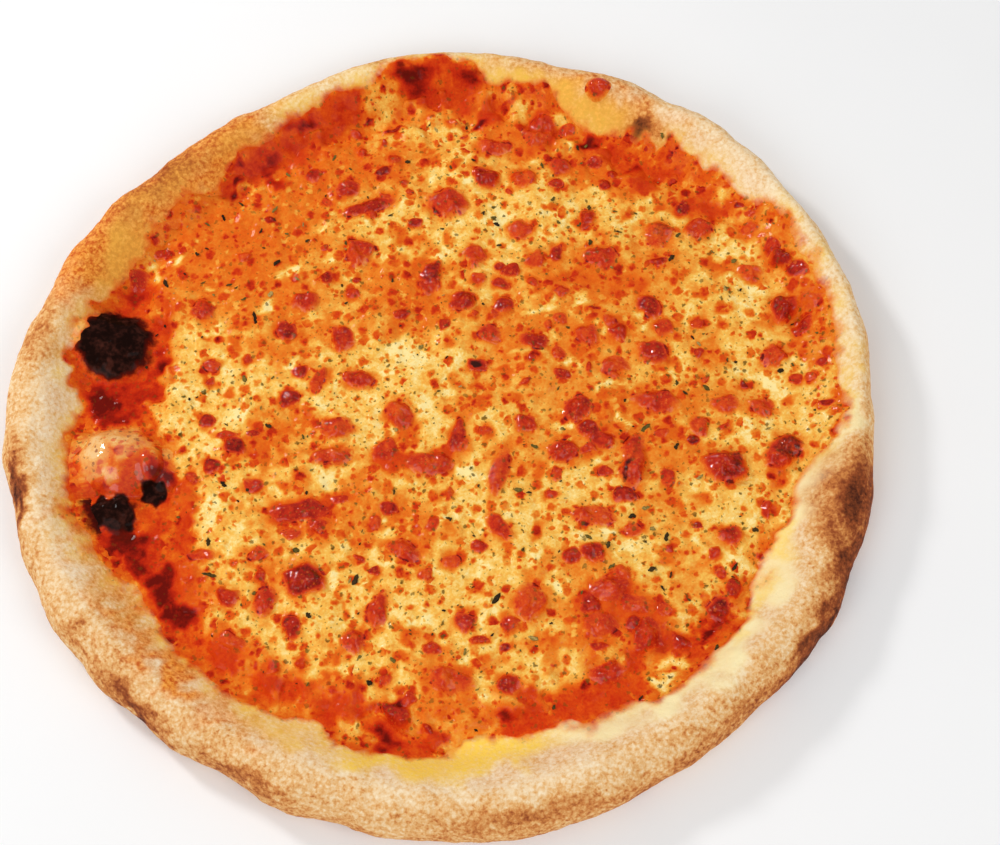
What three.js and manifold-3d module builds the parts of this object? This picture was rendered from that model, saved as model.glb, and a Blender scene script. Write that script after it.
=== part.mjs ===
// A hand-stretched round pizza with tomato sauce, melted cheese and crumbled sobrasada.
// Millimetres, +Z up, standing on z = 0 with its middle over the origin.
import * as THREE from 'three';
import Module from 'manifold-3d';

const wasm = await Module();
wasm.setup();

const TURN = 2 * Math.PI;
const DEGREE = Math.PI / 180;

// Plan radii in millimetres, one every 15 degrees from +X towards +Y.
const CRUST_RADII = [
  160, 163, 163.5, 161.5, 159.5, 155.5, 155, 151, 148, 150, 154, 157,
  160, 157.5, 157, 153.5, 151.5, 152.5, 155, 156, 155.5, 156, 160, 160.5,
];
const SAUCE_RADII = [
  148, 152, 153, 149, 140, 142, 147, 142, 135, 130, 136, 137,
  136, 139, 131, 127, 127, 124, 128, 124, 128, 132, 134, 132,
];
const CHEESE_RADII = [
  145, 149, 149, 132, 124, 128, 131, 125, 120, 125, 132, 113,
  110, 101, 101, 113, 116, 114, 120, 113, 112, 121, 130, 127,
];

// Dough: a thin base inside a puffed rim.
const BASE_THICKNESS = 4;
const RIM_HEIGHT = 19;
const RIM_WAVE_HEIGHT = 1.4;
const RIM_WAVES = [
  { turns: 3, share: 0.6, phase: 0.4 },
  { turns: 7, share: 0.4, phase: 2 },
];
const RIM_SLOPE_WIDTH = 21;
const RIM_EQUATOR_HEIGHT = 7;
const RIM_FOOT_INSET = 6;
const CREST_SHARE = 0.45;
const CREST_INSET_MIN = 6;
const CREST_INSET_MAX = 13;

// Bubbles that lift the dough and the sauce: place, size, turn in degrees and height.
const BUBBLES = [
  { x: -124, y: 24, length: 29, width: 28, turn: 0, height: 7 },
  { x: -119, y: -23, length: 36, width: 31, turn: -25, height: 11 },
];
const BUBBLE_FULLNESS = 1.4;
const BUBBLE_SECTOR = [147 * DEGREE, 210 * DEGREE];

// Layers on the dough, with the small gap that keeps neighbouring solids apart.
const GAP = 0.3;
const SAUCE_THICKNESS = 1.1;
const SAUCE_EDGE_THICKNESS = 0.4;
const CHEESE_THICKNESS = 2.6;
const CHEESE_EDGE_WIDTH = 9;
const CHEESE_EDGE_OVERLAP = 0.35;
const CHEESE_DIP = 2;
const RAGGED_WIDTH = 3.5;
const RAGGED_WAVES = [
  { turns: 13, share: 0.6, phase: 1 },
  { turns: 29, share: 0.4, phase: 0 },
];
const SWELL_HEIGHT = 0.35;
const SWELL_WAVES = [
  { lengthX: 11, lengthY: 45, phase: 0.7 },
  { lengthX: -38, lengthY: 12, phase: 0.2 },
  { lengthX: 5.3, lengthY: 7.1, phase: 0 },
  { lengthX: 8.7, lengthY: -6.1, phase: 1 },
];
const CHEESE_GRID_STEP = 7.5;
const CHEESE_GRID_HALF = 157.5;
const HIGH_ABOVE = 60;
const JUST_BELOW = -1;

// Facets round the pizza, finer where the bubbles are, and the layers' rings as shares of the sauce's radius.
const COARSE_STEP = 4.5 * DEGREE;
const FINE_STEP = 3 * DEGREE;
const LAYER_RINGS = [0.7, 0.79, 0.86, 0.92, 0.96, 1];
const SLOPE_RINGS = [1 / 3, 2 / 3];
const UPPER_RIM_STEPS = 3;
const LOWER_RIM_STEPS = 2;

// Sobrasada: x, y, length, width and turn in degrees of each lump.
const LUMPS = [
  [2, 89, 19, 15, 0],
  [-29, 87, 24, 8, 20],
  [-32, 67, 14, 12, 0],
  [-37, 30, 14, 10, 100],
  [-52, 46, 13, 10, 0],
  [-90, 43, 11, 10, 0],
  [-58, 34, 10, 9, 0],
  [-30, 14, 14, 10, -10],
  [-38, -6, 16, 9, 0],
  [-39, -17, 20, 8, 5],
  [-15, 0, 13, 12, 90],
  [-20, -14, 12, 8, 30],
  [-3, -20, 21, 10, 5],
  [7, -8, 14, 8, 75],
  [-4, 58, 12, 9, 60],
  [8, 46, 11, 10, 0],
  [24, 45, 8, 8, 0],
  [13, 65, 12, 10, 60],
  [30, 77, 10, 10, 0],
  [17, 100, 12, 10, -20],
  [31, 100, 10, 10, 0],
  [20, 114, 16, 8, 0],
  [38, 121, 16, 12, 70],
  [46, 105, 10, 9, 0],
  [56, 82, 11, 9, 70],
  [61, 65, 14, 11, 0],
  [36, 64, 9, 8, 0],
  [18, 32, 10, 9, 0],
  [35, 30, 11, 8, 0],
  [55, 32, 10, 10, 0],
  [67, 33, 10, 9, 0],
  [80, 25, 13, 11, 0],
  [65, 20, 14, 8, 10],
  [83, 75, 13, 12, 0],
  [99, 77, 13, 11, 0],
  [79, 44, 14, 9, -50],
  [130, 43, 14, 12, 40],
  [143, 47, 9, 8, 0],
  [118, 58, 12, 8, -20],
  [129, 62, 11, 9, -40],
  [125, 23, 12, 11, 0],
  [80, 5, 21, 9, -14],
  [106, 4, 11, 8, 0],
  [119, 3, 13, 9, -10],
  [96, -5, 10, 8, -60],
  [105, -21, 18, 16, 0],
  [126, -15, 18, 12, 45],
  [71, -19, 25, 12, 80],
  [51, 2, 13, 11, 0],
  [45, -15, 12, 11, 0],
  [59, -10, 12, 8, 0],
  [22, -23, 22, 8, 75],
  [22, -44, 15, 8, -45],
  [56, -40, 19, 10, -5],
  [56, -54, 12, 9, -60],
  [-47, -64, 18, 14, 10],
  [-61, -72, 14, 10, 80],
  [-74, -70, 10, 9, 0],
  [-21, -75, 15, 10, 75],
  [-29, -86, 10, 9, 0],
  [33, -72, 16, 13, 60],
  [10, -79, 9, 8, 0],
  [5, -100, 18, 10, -15],
  [25, -101, 10, 8, 0],
  [61, -67, 17, 11, 20],
  [58, -80, 15, 11, 0],
  [74, -84, 14, 11, 30],
  [-50, -38, 25, 9, 5],
  [32, -4, 10, 9, 0],
  [105, -47, 10, 9, 0],
  [-12, -53, 14, 9, -30],
  [60, -97, 14, 8, 10],
  [62, 136, 11, 10, 0],
  [-37, 95, 10, 9, 0],
  [-51, -81, 11, 7, -60],
  [14, 20, 10, 6, 0],
  [-13, -112, 12, 9, -50],
];
const SEPARATE_LUMPS = 55;
const LUMP_SIDES = 8;
const LUMP_HEIGHT_SHARES = [0.33, 0.4];
const LUMP_REACHES = [0.84, 1];
const LUMP_REACH_LEAST = 0.3;
const LUMP_REACH_STEP = 0.05;
const LUMP_CLEARANCE = 0.5;
const LUMP_RINGS = [
  { reach: 0.9, rise: 0 },
  { reach: 1, rise: 0.45 },
  { reach: 0.68, rise: 0.87 },
];
const SEAT_GAP = 0.35;
const SEAT_SAMPLES = 6;

// Small crumbs and herb flakes, fused to the cheese.
const CRUMB_COUNT = 30;
const CRUMB_LENGTHS = [4, 6.5];
const CRUMB_WIDTH_SHARES = [0.7, 1];
const CRUMB_SIDES = 6;
const CRUMB_RINGS = [
  { reach: 1, rise: 0 },
  { reach: 0.75, rise: 0.7 },
];
const FLAKE_COUNT = 46;
const FLAKE_LENGTHS = [2.6, 5];
const FLAKE_WIDTHS = [1.3, 2.2];
const FLAKE_RISE = 0.8;
const FLAKE_SIDES = 5;
const FLAKE_RINGS = [{ reach: 1, rise: 0 }];
const SUNK_DEPTH = 1;
const SCATTER_EDGE = 8;
const SCATTER_CLEARANCE = 1.2;
const SCATTER_TRIES = 4000;
const RANDOM_SEED = 867;
const FACE_AREA_LEAST = 1e-9;

const MATERIALS = {
  dough: new THREE.MeshStandardMaterial({ color: 0xe0b880, roughness: 0.85, metalness: 0 }),
  sauce: new THREE.MeshStandardMaterial({ color: 0xb8260e, roughness: 0.35, metalness: 0 }),
  cheese: new THREE.MeshStandardMaterial({ color: 0xf2b03c, roughness: 0.4, metalness: 0 }),
  sobrasada: new THREE.MeshStandardMaterial({ color: 0xc4421c, roughness: 0.4, metalness: 0 }),
};

// Plain number helpers.
function clamp(value, low, high) {
  return Math.min(high, Math.max(low, value));
}

function smoothStep(value) {
  const share = clamp(value, 0, 1);
  return share * share * (3 - 2 * share);
}

function seededRandom(seed) {
  let state = seed;
  return () => {
    state = (state + 0x6d2b79f5) | 0;
    let mixed = Math.imul(state ^ (state >>> 15), 1 | state);
    mixed = (mixed + Math.imul(mixed ^ (mixed >>> 7), 61 | mixed)) ^ mixed;
    return ((mixed ^ (mixed >>> 14)) >>> 0) / 4294967296;
  };
}

const random = seededRandom(RANDOM_SEED);

function between([low, high]) {
  return low + (high - low) * random();
}

// A smooth closed curve of radius against angle, through evenly spaced radii.
function radiusCurve(radii) {
  const count = radii.length;
  return (angle) => {
    const place = (((angle / TURN) % 1) + 1) % 1 * count;
    const first = Math.floor(place);
    const t = place - first;
    const [a, b, c, d] = [-1, 0, 1, 2].map((step) => radii[(first + step + count) % count]);
    return b + 0.5 * t * (c - a + t * (2 * a - 5 * b + 4 * c - d + t * (3 * (b - c) + d - a)));
  };
}

const crustRadius = radiusCurve(CRUST_RADII);
const sauceRadius = radiusCurve(SAUCE_RADII);
const cheeseRadius = radiusCurve(CHEESE_RADII);

function crestRadius(angle) {
  const bare = crustRadius(angle) - sauceRadius(angle);
  return crustRadius(angle) - clamp(CREST_SHARE * bare, CREST_INSET_MIN, CREST_INSET_MAX);
}

function waveRound(waves, angle) {
  return waves.reduce((sum, { turns, share, phase }) => sum + share * Math.sin(turns * angle + phase), 0);
}

function rimHeight(angle) {
  return RIM_HEIGHT + RIM_WAVE_HEIGHT * waveRound(RIM_WAVES, angle);
}

// How far a point lies from the middle of a turned ellipse, with 1 on its edge.
function ellipseShare(x, y, { x: middleX, y: middleY, length, width, turn }) {
  const along = Math.cos(turn * DEGREE) * (x - middleX) + Math.sin(turn * DEGREE) * (y - middleY);
  const across = Math.cos(turn * DEGREE) * (y - middleY) - Math.sin(turn * DEGREE) * (x - middleX);
  return Math.hypot(along / (length / 2), across / (width / 2));
}

function widened(ellipse, room) {
  return { ...ellipse, length: ellipse.length + 2 * room, width: ellipse.width + 2 * room };
}

function bubbleRise(x, y) {
  return BUBBLES.reduce((rise, bubble) => {
    const share = Math.min(1, ellipseShare(x, y, bubble));
    return rise + bubble.height * (1 - share ** 2) ** BUBBLE_FULLNESS;
  }, 0);
}

// Height of the dough's upper face from the middle to the rim's crest.
function doughHeight(x, y) {
  const angle = Math.atan2(y, x);
  const slope = (Math.hypot(x, y) - crestRadius(angle) + RIM_SLOPE_WIDTH) / RIM_SLOPE_WIDTH;
  return BASE_THICKNESS + (rimHeight(angle) - BASE_THICKNESS) * smoothStep(slope) + bubbleRise(x, y);
}

// Long low swells of the melted cheese.
function cheeseSwell(x, y) {
  const waves = SWELL_WAVES.map(({ lengthX, lengthY, phase }) => Math.sin(x / lengthX + y / lengthY + phase));
  return SWELL_HEIGHT * waves.reduce((sum, wave) => sum + wave, 0);
}

// Height of the cheese: full inside its ragged edge, under the sauce outside it.
function cheeseHeight(x, y) {
  const angle = Math.atan2(y, x);
  const edge = cheeseRadius(angle) + RAGGED_WIDTH * waveRound(RAGGED_WAVES, angle);
  const inside = (edge - Math.hypot(x, y)) / CHEESE_EDGE_WIDTH + CHEESE_EDGE_OVERLAP;
  const sauceTop = doughHeight(x, y) + 2 * GAP + SAUCE_THICKNESS;
  const body = CHEESE_THICKNESS + cheeseSwell(x, y);
  return sauceTop - CHEESE_DIP + (body + CHEESE_DIP) * smoothStep(inside);
}

// Angles round the pizza, closer together where the bubbles are.
function facetAngles() {
  const [start, end] = BUBBLE_SECTOR;
  const fineCount = Math.round((end - start) / FINE_STEP);
  const coarseCount = Math.round((TURN - end + start) / COARSE_STEP);
  const fine = Array.from({ length: fineCount }, (_, i) => start + ((end - start) * i) / fineCount);
  const coarse = Array.from(
    { length: coarseCount },
    (_, i) => end + ((TURN - end + start) * i) / coarseCount,
  );
  return [...fine, ...coarse];
}

const ANGLES = facetAngles();

function ringOf(pointAt) {
  return ANGLES.map((angle) => pointAt(angle));
}

function polarPoint(angle, radius, height) {
  return [radius * Math.cos(angle), radius * Math.sin(angle), height];
}

// A ring of the layered middle, at a share of the sauce's radius and lifted off the dough.
function layerRing(share, lift) {
  return ringOf((angle) => {
    const [x, y] = polarPoint(angle, share * sauceRadius(angle), 0);
    return [x, y, doughHeight(x, y) + lift];
  });
}

function planDistance(p, q) {
  return Math.hypot(p[0] - q[0], p[1] - q[1]);
}

// A closed shell of rings that share one number of points, from an upper pole round to a lower one.
// Each four-sided facet splits along its shorter diagonal in plan, so that faces laid on each other match.
function shell(upperPole, rings, lowerPole) {
  const count = rings[0].length;
  const points = [upperPole, ...rings.flat(), lowerPole];
  const last = points.length - 1;
  const at = (ring, i) => 1 + ring * count + (i % count);
  const triangles = [];
  for (let i = 0; i < count; i += 1) {
    triangles.push([0, at(0, i), at(0, i + 1)]);
    for (let ring = 0; ring + 1 < rings.length; ring += 1) {
      const [a, b, c, d] = [at(ring, i), at(ring + 1, i), at(ring + 1, i + 1), at(ring, i + 1)];
      const straight = planDistance(points[a], points[c]) <= planDistance(points[b], points[d]);
      triangles.push(...(straight ? [[a, b, c], [a, c, d]] : [[a, b, d], [b, c, d]]));
    }
    triangles.push([last, at(rings.length - 1, i + 1), at(rings.length - 1, i)]);
  }
  return { points, triangles };
}

// Dough from the middle of its upper face, over the rim and back to the middle underneath.
function doughShell() {
  const layerRings = LAYER_RINGS.map((share) => layerRing(share, 0));
  const slopeRings = [...SLOPE_RINGS, 1].map((share) => ringOf((angle) => {
    const radius = sauceRadius(angle) + share * (crestRadius(angle) - sauceRadius(angle));
    const [x, y] = polarPoint(angle, radius, 0);
    return [x, y, doughHeight(x, y)];
  }));
  const upperRings = Array.from({ length: UPPER_RIM_STEPS }, (_, i) => ringOf((angle) => {
    const bend = ((i + 1) / UPPER_RIM_STEPS) * (TURN / 4);
    const radius = crestRadius(angle) + (crustRadius(angle) - crestRadius(angle)) * Math.sin(bend);
    const height = RIM_EQUATOR_HEIGHT + (rimHeight(angle) - RIM_EQUATOR_HEIGHT) * Math.cos(bend);
    return polarPoint(angle, radius, height);
  }));
  const lowerRings = Array.from({ length: LOWER_RIM_STEPS }, (_, i) => ringOf((angle) => {
    const bend = ((i + 1) / LOWER_RIM_STEPS) * (TURN / 4);
    const radius = crustRadius(angle) - RIM_FOOT_INSET * (1 - Math.cos(bend));
    return polarPoint(angle, radius, RIM_EQUATOR_HEIGHT * (1 - Math.sin(bend)));
  }));
  const rings = [...layerRings, ...slopeRings, ...upperRings, ...lowerRings];
  return shell([0, 0, BASE_THICKNESS], rings, [0, 0, 0]);
}

// Tomato sauce, a skin on the dough that thins at its edge.
function sauceShell() {
  const thickness = (share) => (share < 1 ? SAUCE_THICKNESS : SAUCE_EDGE_THICKNESS);
  const upper = LAYER_RINGS.map((share) => layerRing(share, GAP + thickness(share)));
  const lower = [...LAYER_RINGS].reverse().map((share) => layerRing(share, GAP));
  const bottom = BASE_THICKNESS + GAP;
  return shell([0, 0, bottom + SAUCE_THICKNESS], [...upper, ...lower], [0, 0, bottom]);
}

// All the space above the sauce, a gap away from it.
function aboveSauceShell() {
  const lift = 2 * GAP + SAUCE_THICKNESS;
  const lid = ringOf((angle) => polarPoint(angle, sauceRadius(angle), HIGH_ABOVE));
  const floor = [...LAYER_RINGS].reverse().map((share) => layerRing(share, lift));
  return shell([0, 0, HIGH_ABOVE], [lid, ...floor], [0, 0, BASE_THICKNESS + lift]);
}

// A block under a height over a square grid, standing below the pizza's underside.
function heightBlock(heightAt, half, step) {
  const side = Math.round((2 * half) / step) + 1;
  const points = [];
  const triangles = [];
  const place = (i) => -half + i * step;
  for (let level = 0; level < 2; level += 1) {
    for (let j = 0; j < side; j += 1) {
      for (let i = 0; i < side; i += 1) {
        points.push([place(i), place(j), level === 0 ? heightAt(place(i), place(j)) : JUST_BELOW]);
      }
    }
  }
  const upper = (i, j) => j * side + i;
  const lower = (i, j) => side * side + upper(i, j);
  const quad = (a, b, c, d) => triangles.push([a, b, c], [a, c, d]);
  for (let j = 0; j + 1 < side; j += 1) {
    for (let i = 0; i + 1 < side; i += 1) {
      quad(upper(i, j), upper(i + 1, j), upper(i + 1, j + 1), upper(i, j + 1));
      quad(lower(i, j), lower(i, j + 1), lower(i + 1, j + 1), lower(i + 1, j));
    }
    quad(lower(j, 0), lower(j + 1, 0), upper(j + 1, 0), upper(j, 0));
    quad(upper(j, side - 1), upper(j + 1, side - 1), lower(j + 1, side - 1), lower(j, side - 1));
    quad(upper(0, j), upper(0, j + 1), lower(0, j + 1), lower(0, j));
    quad(lower(side - 1, j), lower(side - 1, j + 1), upper(side - 1, j + 1), upper(side - 1, j));
  }
  return { points, triangles };
}

function solidOf({ points, triangles }) {
  return new wasm.Manifold(new wasm.Mesh({
    numProp: 3,
    vertProperties: new Float32Array(points.flat()),
    triVerts: new Uint32Array(triangles.flat()),
  }));
}

function shellOf(solid) {
  const { numProp, vertProperties, triVerts } = solid.getMesh();
  const points = [];
  for (let i = 0; i < vertProperties.length; i += numProp) {
    points.push([vertProperties[i], vertProperties[i + 1], vertProperties[i + 2]]);
  }
  const triangles = [];
  for (let i = 0; i < triVerts.length; i += 3) {
    triangles.push([triVerts[i], triVerts[i + 1], triVerts[i + 2]]);
  }
  return { points, triangles };
}

function largestPiece(solid) {
  return solid.decompose().reduce((best, piece) => (piece.volume() > best.volume() ? piece : best));
}

// Highest point of a faceted shell straight above a place, or minus infinity beside it.
function topOf(shells) {
  const cornersOf = ({ points, triangles }) => triangles.map((corners) => corners.map((i) => points[i]));
  const faces = shells.flatMap(cornersOf);
  return (x, y) => faces.reduce((top, [a, b, c]) => {
    const area = (b[0] - a[0]) * (c[1] - a[1]) - (c[0] - a[0]) * (b[1] - a[1]);
    if (area <= FACE_AREA_LEAST) return top;
    const shareB = ((x - a[0]) * (c[1] - a[1]) - (c[0] - a[0]) * (y - a[1])) / area;
    const shareC = ((b[0] - a[0]) * (y - a[1]) - (x - a[0]) * (b[1] - a[1])) / area;
    if (shareB < 0 || shareC < 0 || shareB + shareC > 1) return top;
    return Math.max(top, a[2] + shareB * (b[2] - a[2]) + shareC * (c[2] - a[2]));
  }, -Infinity);
}

// The tilted plane that just clears what lies under an ellipse.
function seatPlane(topAt, lump) {
  const spots = [[lump.x, lump.y]];
  for (let ring = 1; ring <= SEAT_SAMPLES; ring += 1) {
    for (let i = 0; i < 4 * SEAT_SAMPLES; i += 1) {
      spots.push(ellipsePoint(lump, (i / (4 * SEAT_SAMPLES)) * TURN, ring / SEAT_SAMPLES));
    }
  }
  const samples = spots.map(([x, y]) => [x - lump.x, y - lump.y, topAt(x, y)]);
  const sum = (value) => samples.reduce((total, sample) => total + value(sample), 0);
  const [xx, yy, xy] = [sum(([x]) => x * x), sum(([, y]) => y * y), sum(([x, y]) => x * y)];
  const [xz, yz] = [sum(([x, , z]) => x * z), sum(([, y, z]) => y * z)];
  const slopeX = (xz * yy - yz * xy) / (xx * yy - xy * xy);
  const slopeY = (yz * xx - xz * xy) / (xx * yy - xy * xy);
  const level = Math.max(...samples.map(([x, y, z]) => z - slopeX * x - slopeY * y));
  return (x, y) => level + slopeX * (x - lump.x) + slopeY * (y - lump.y);
}

function ellipsePoint({ x, y, length, width, turn }, angle, share) {
  const along = (length / 2) * share * Math.cos(angle);
  const across = (width / 2) * share * Math.sin(angle);
  const [c, s] = [Math.cos(turn * DEGREE), Math.sin(turn * DEGREE)];
  return [x + c * along - s * across, y + s * along + c * across];
}

// How much of a lump's reach is free in one direction, so that it stays off its neighbours.
function freeReach(lump, angle, neighbours) {
  let reach = between(LUMP_REACHES);
  const meets = () => neighbours.some((other) => {
    const [x, y] = ellipsePoint(lump, angle, reach);
    return ellipseShare(x, y, widened(other, LUMP_CLEARANCE)) < 1;
  });
  while (reach > LUMP_REACH_LEAST && meets()) {
    reach -= LUMP_REACH_STEP;
  }
  return reach;
}

// A rounded crumb on a seat: its rings rise from the seat to a crown.
function crumbShell(lump, { sides, rings, height, floor, seat, neighbours }) {
  const reaches = Array.from({ length: sides }, (_, i) => freeReach(lump, (i / sides) * TURN, neighbours));
  const ringPoints = [...rings].reverse().map(({ reach, rise }) => reaches.map((free, i) => {
    const [x, y] = ellipsePoint(lump, (i / sides) * TURN, free * reach);
    return [x, y, seat(x, y) + (rise === 0 ? floor : rise * height)];
  }));
  const { x, y } = lump;
  return shell([x, y, seat(x, y) + height], ringPoints, [x, y, seat(x, y) + floor]);
}

const lumps = LUMPS
  .map(([x, y, length, width, turn]) => ({ x, y, length, width, turn }))
  .sort((a, b) => b.length * b.width - a.length * a.width);
const separateLumps = lumps.slice(0, SEPARATE_LUMPS);
const fusedLumps = lumps.slice(SEPARATE_LUMPS);

function lumpHeight({ width }) {
  return width * between(LUMP_HEIGHT_SHARES);
}

function separateLumpShell(lump, topAt) {
  return crumbShell(lump, {
    sides: LUMP_SIDES,
    rings: LUMP_RINGS,
    height: lumpHeight(lump),
    floor: SEAT_GAP,
    seat: seatPlane(topAt, lump),
    neighbours: lumps.filter((other) => other !== lump),
  });
}

function fusedShell(lump, topAt, { sides, rings, height }) {
  const level = topAt(lump.x, lump.y);
  const seat = () => level;
  return crumbShell(lump, { sides, rings, height, floor: -SUNK_DEPTH, seat, neighbours: separateLumps });
}

// Crumbs or flakes at free places on the cheese, drawn until there are enough.
function scatter(count, sizeOf, taken) {
  const placed = [];
  for (let attempt = 0; attempt < SCATTER_TRIES && placed.length < count; attempt += 1) {
    const angle = random() * TURN;
    const radius = (cheeseRadius(angle) - SCATTER_EDGE) * Math.sqrt(random());
    const [x, y] = polarPoint(angle, radius, 0);
    const item = { x, y, ...sizeOf(), turn: random() * 180 };
    const room = item.length / 2 + SCATTER_CLEARANCE;
    const clear = [...taken, ...placed].every((other) => ellipseShare(x, y, widened(other, room)) > 1);
    if (clear) placed.push(item);
  }
  return placed;
}

function cheeseShells(topAt, cheese) {
  const crumbs = scatter(CRUMB_COUNT, () => {
    const length = between(CRUMB_LENGTHS);
    return { length, width: length * between(CRUMB_WIDTH_SHARES) };
  }, lumps);
  const flakes = scatter(
    FLAKE_COUNT,
    () => ({ length: between(FLAKE_LENGTHS), width: between(FLAKE_WIDTHS) }),
    [...lumps, ...crumbs],
  );
  const round = { sides: LUMP_SIDES, rings: LUMP_RINGS };
  const small = { sides: CRUMB_SIDES, rings: CRUMB_RINGS };
  const flat = { sides: FLAKE_SIDES, rings: FLAKE_RINGS };
  const shells = [
    ...fusedLumps.map((lump) => fusedShell(lump, topAt, { ...round, height: lumpHeight(lump) })),
    ...crumbs.map((crumb) => fusedShell(crumb, topAt, { ...small, height: lumpHeight(crumb) })),
    ...flakes.map((flake) => fusedShell(flake, topAt, { ...flat, height: FLAKE_RISE })),
  ];
  const fused = shells.reduce((whole, piece) => whole.add(solidOf(piece)), cheese);
  return shellOf(largestPiece(fused));
}

function meshOf(name, { points, triangles }, material) {
  const geometry = new THREE.BufferGeometry();
  geometry.setAttribute('position', new THREE.BufferAttribute(new Float32Array(points.flat()), 3));
  geometry.setIndex(triangles.flat());
  geometry.computeVertexNormals();
  const mesh = new THREE.Mesh(geometry, material);
  mesh.name = name;
  return mesh;
}

const dough = doughShell();
const sauce = sauceShell();
const cheeseBlock = solidOf(heightBlock(cheeseHeight, CHEESE_GRID_HALF, CHEESE_GRID_STEP));
const bareCheese = largestPiece(cheeseBlock.intersect(solidOf(aboveSauceShell())));
const topAt = topOf([dough, sauce, shellOf(bareCheese)]);

const pizza = new THREE.Group();
pizza.name = 'sobrasada_pizza';
pizza.add(meshOf('dough', dough, MATERIALS.dough));
pizza.add(meshOf('tomato_sauce', sauce, MATERIALS.sauce));
pizza.add(meshOf('melted_cheese', cheeseShells(topAt, bareCheese), MATERIALS.cheese));
separateLumps.forEach((lump, i) => {
  const name = `sobrasada_${String(i + 1).padStart(2, '0')}`;
  pizza.add(meshOf(name, separateLumpShell(lump, topAt), MATERIALS.sobrasada));
});

// The middle of the plan stands over the origin.
const plan = new THREE.Box3().setFromObject(pizza);
pizza.position.set(-(plan.min.x + plan.max.x) / 2, -(plan.min.y + plan.max.y) / 2, 0);

export default pizza;
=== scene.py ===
"""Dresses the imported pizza: crust, sauce, cheese, sobrasada, herbs and oil, with studio light and camera.

Shapes are worked out in millimetres in the part's own frame, +Z up, and meshes are written in metres.
"""

import logging
import math
from dataclasses import dataclass
from enum import Enum

import bpy
import numpy as np
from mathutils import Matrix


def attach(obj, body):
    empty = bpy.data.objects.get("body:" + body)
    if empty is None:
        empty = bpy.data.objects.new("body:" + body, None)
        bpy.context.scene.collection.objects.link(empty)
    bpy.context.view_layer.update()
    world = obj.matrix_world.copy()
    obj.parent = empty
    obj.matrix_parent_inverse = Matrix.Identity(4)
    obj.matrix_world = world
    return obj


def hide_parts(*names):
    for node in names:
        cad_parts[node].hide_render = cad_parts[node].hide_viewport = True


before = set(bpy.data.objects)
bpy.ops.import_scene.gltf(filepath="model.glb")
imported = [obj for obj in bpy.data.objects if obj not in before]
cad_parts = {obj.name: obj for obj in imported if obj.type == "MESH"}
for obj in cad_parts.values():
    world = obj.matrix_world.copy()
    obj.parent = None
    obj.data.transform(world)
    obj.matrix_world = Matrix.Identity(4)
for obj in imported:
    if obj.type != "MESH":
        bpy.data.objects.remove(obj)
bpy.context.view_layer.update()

Array = np.ndarray
Colour = tuple[float, float, float]
Stops = tuple[tuple[float, Colour], ...]
Swells = tuple[tuple[float, float, int], ...]

MM = 0.001
TURN = 2 * math.pi
SAME_HEIGHT = 0.05
BODY = "root"
log = logging.getLogger("pizza")


class Slot(Enum):
    """The record's finishes."""

    DOUGH = "dough"
    SAUCE = "sauce"
    CHEESE = "cheese"
    SOBRASADA = "sobrasada"


# Numbers and fields.


def paint_colour(red: int, green: int, blue: int) -> Colour:
    """A colour as a screen shows it, 0 to 255, turned into linear light."""
    shares = (value / 255 for value in (red, green, blue))
    return tuple(s / 12.92 if s <= 0.04045 else ((s + 0.055) / 1.055) ** 2.4 for s in shares)


def smooth(value: Array, low: float = 0.0, high: float = 1.0) -> Array:
    """A smooth step: 0 at low and 1 at high, with 3 t squared less 2 t cubed between them."""
    t = np.clip((value - low) / (high - low), 0.0, 1.0)
    return t * t * (3 - 2 * t)


@dataclass(frozen=True)
class Waves:
    """Soft seeded noise of unit spread: the sum of plane waves of about one length in random directions.

    Attributes:
        length: the waves' middle length.
        seed: what the directions, lengths and phases are drawn from.
        count: how many waves are summed.
    """

    length: float
    seed: int
    count: int = 32

    def at(self, *axes: Array) -> Array:
        """The sum of the waves at points.

        Args:
            axes: the points' coordinates, one array for each axis.

        Returns:
            The noise, in the arrays' common shape.
        """
        rng = np.random.default_rng(self.seed)
        ways = rng.normal(size=(self.count, len(axes)))
        ways /= np.linalg.norm(ways, axis=1, keepdims=True)
        steps = TURN / (self.length * rng.uniform(0.7, 1.5, self.count))
        phases = rng.uniform(0.0, TURN, self.count)
        total = np.zeros(np.broadcast_shapes(*(np.shape(axis) for axis in axes)))
        for way, step, phase in zip(ways, steps, phases):
            total += np.cos(step * sum(w * axis for w, axis in zip(way, axes)) + phase)
        return total * math.sqrt(2 / self.count)


def swells(rows: Swells, *axes: Array, seed: int = 0) -> Array:
    """The sum of waves at points, from rows of height, length and seed, with a number added to the seeds."""
    return sum(height * Waves(length, own + seed).at(*axes) for height, length, own in rows)


def placed(x: Array, y: Array, turn: Array, along: Array, across: Array) -> tuple[Array, Array]:
    """Plan places of points that are given along and across a turned line from its middle."""
    c, s = np.cos(turn), np.sin(turn)
    return x + c * along - s * across, y + s * along + c * across


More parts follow.
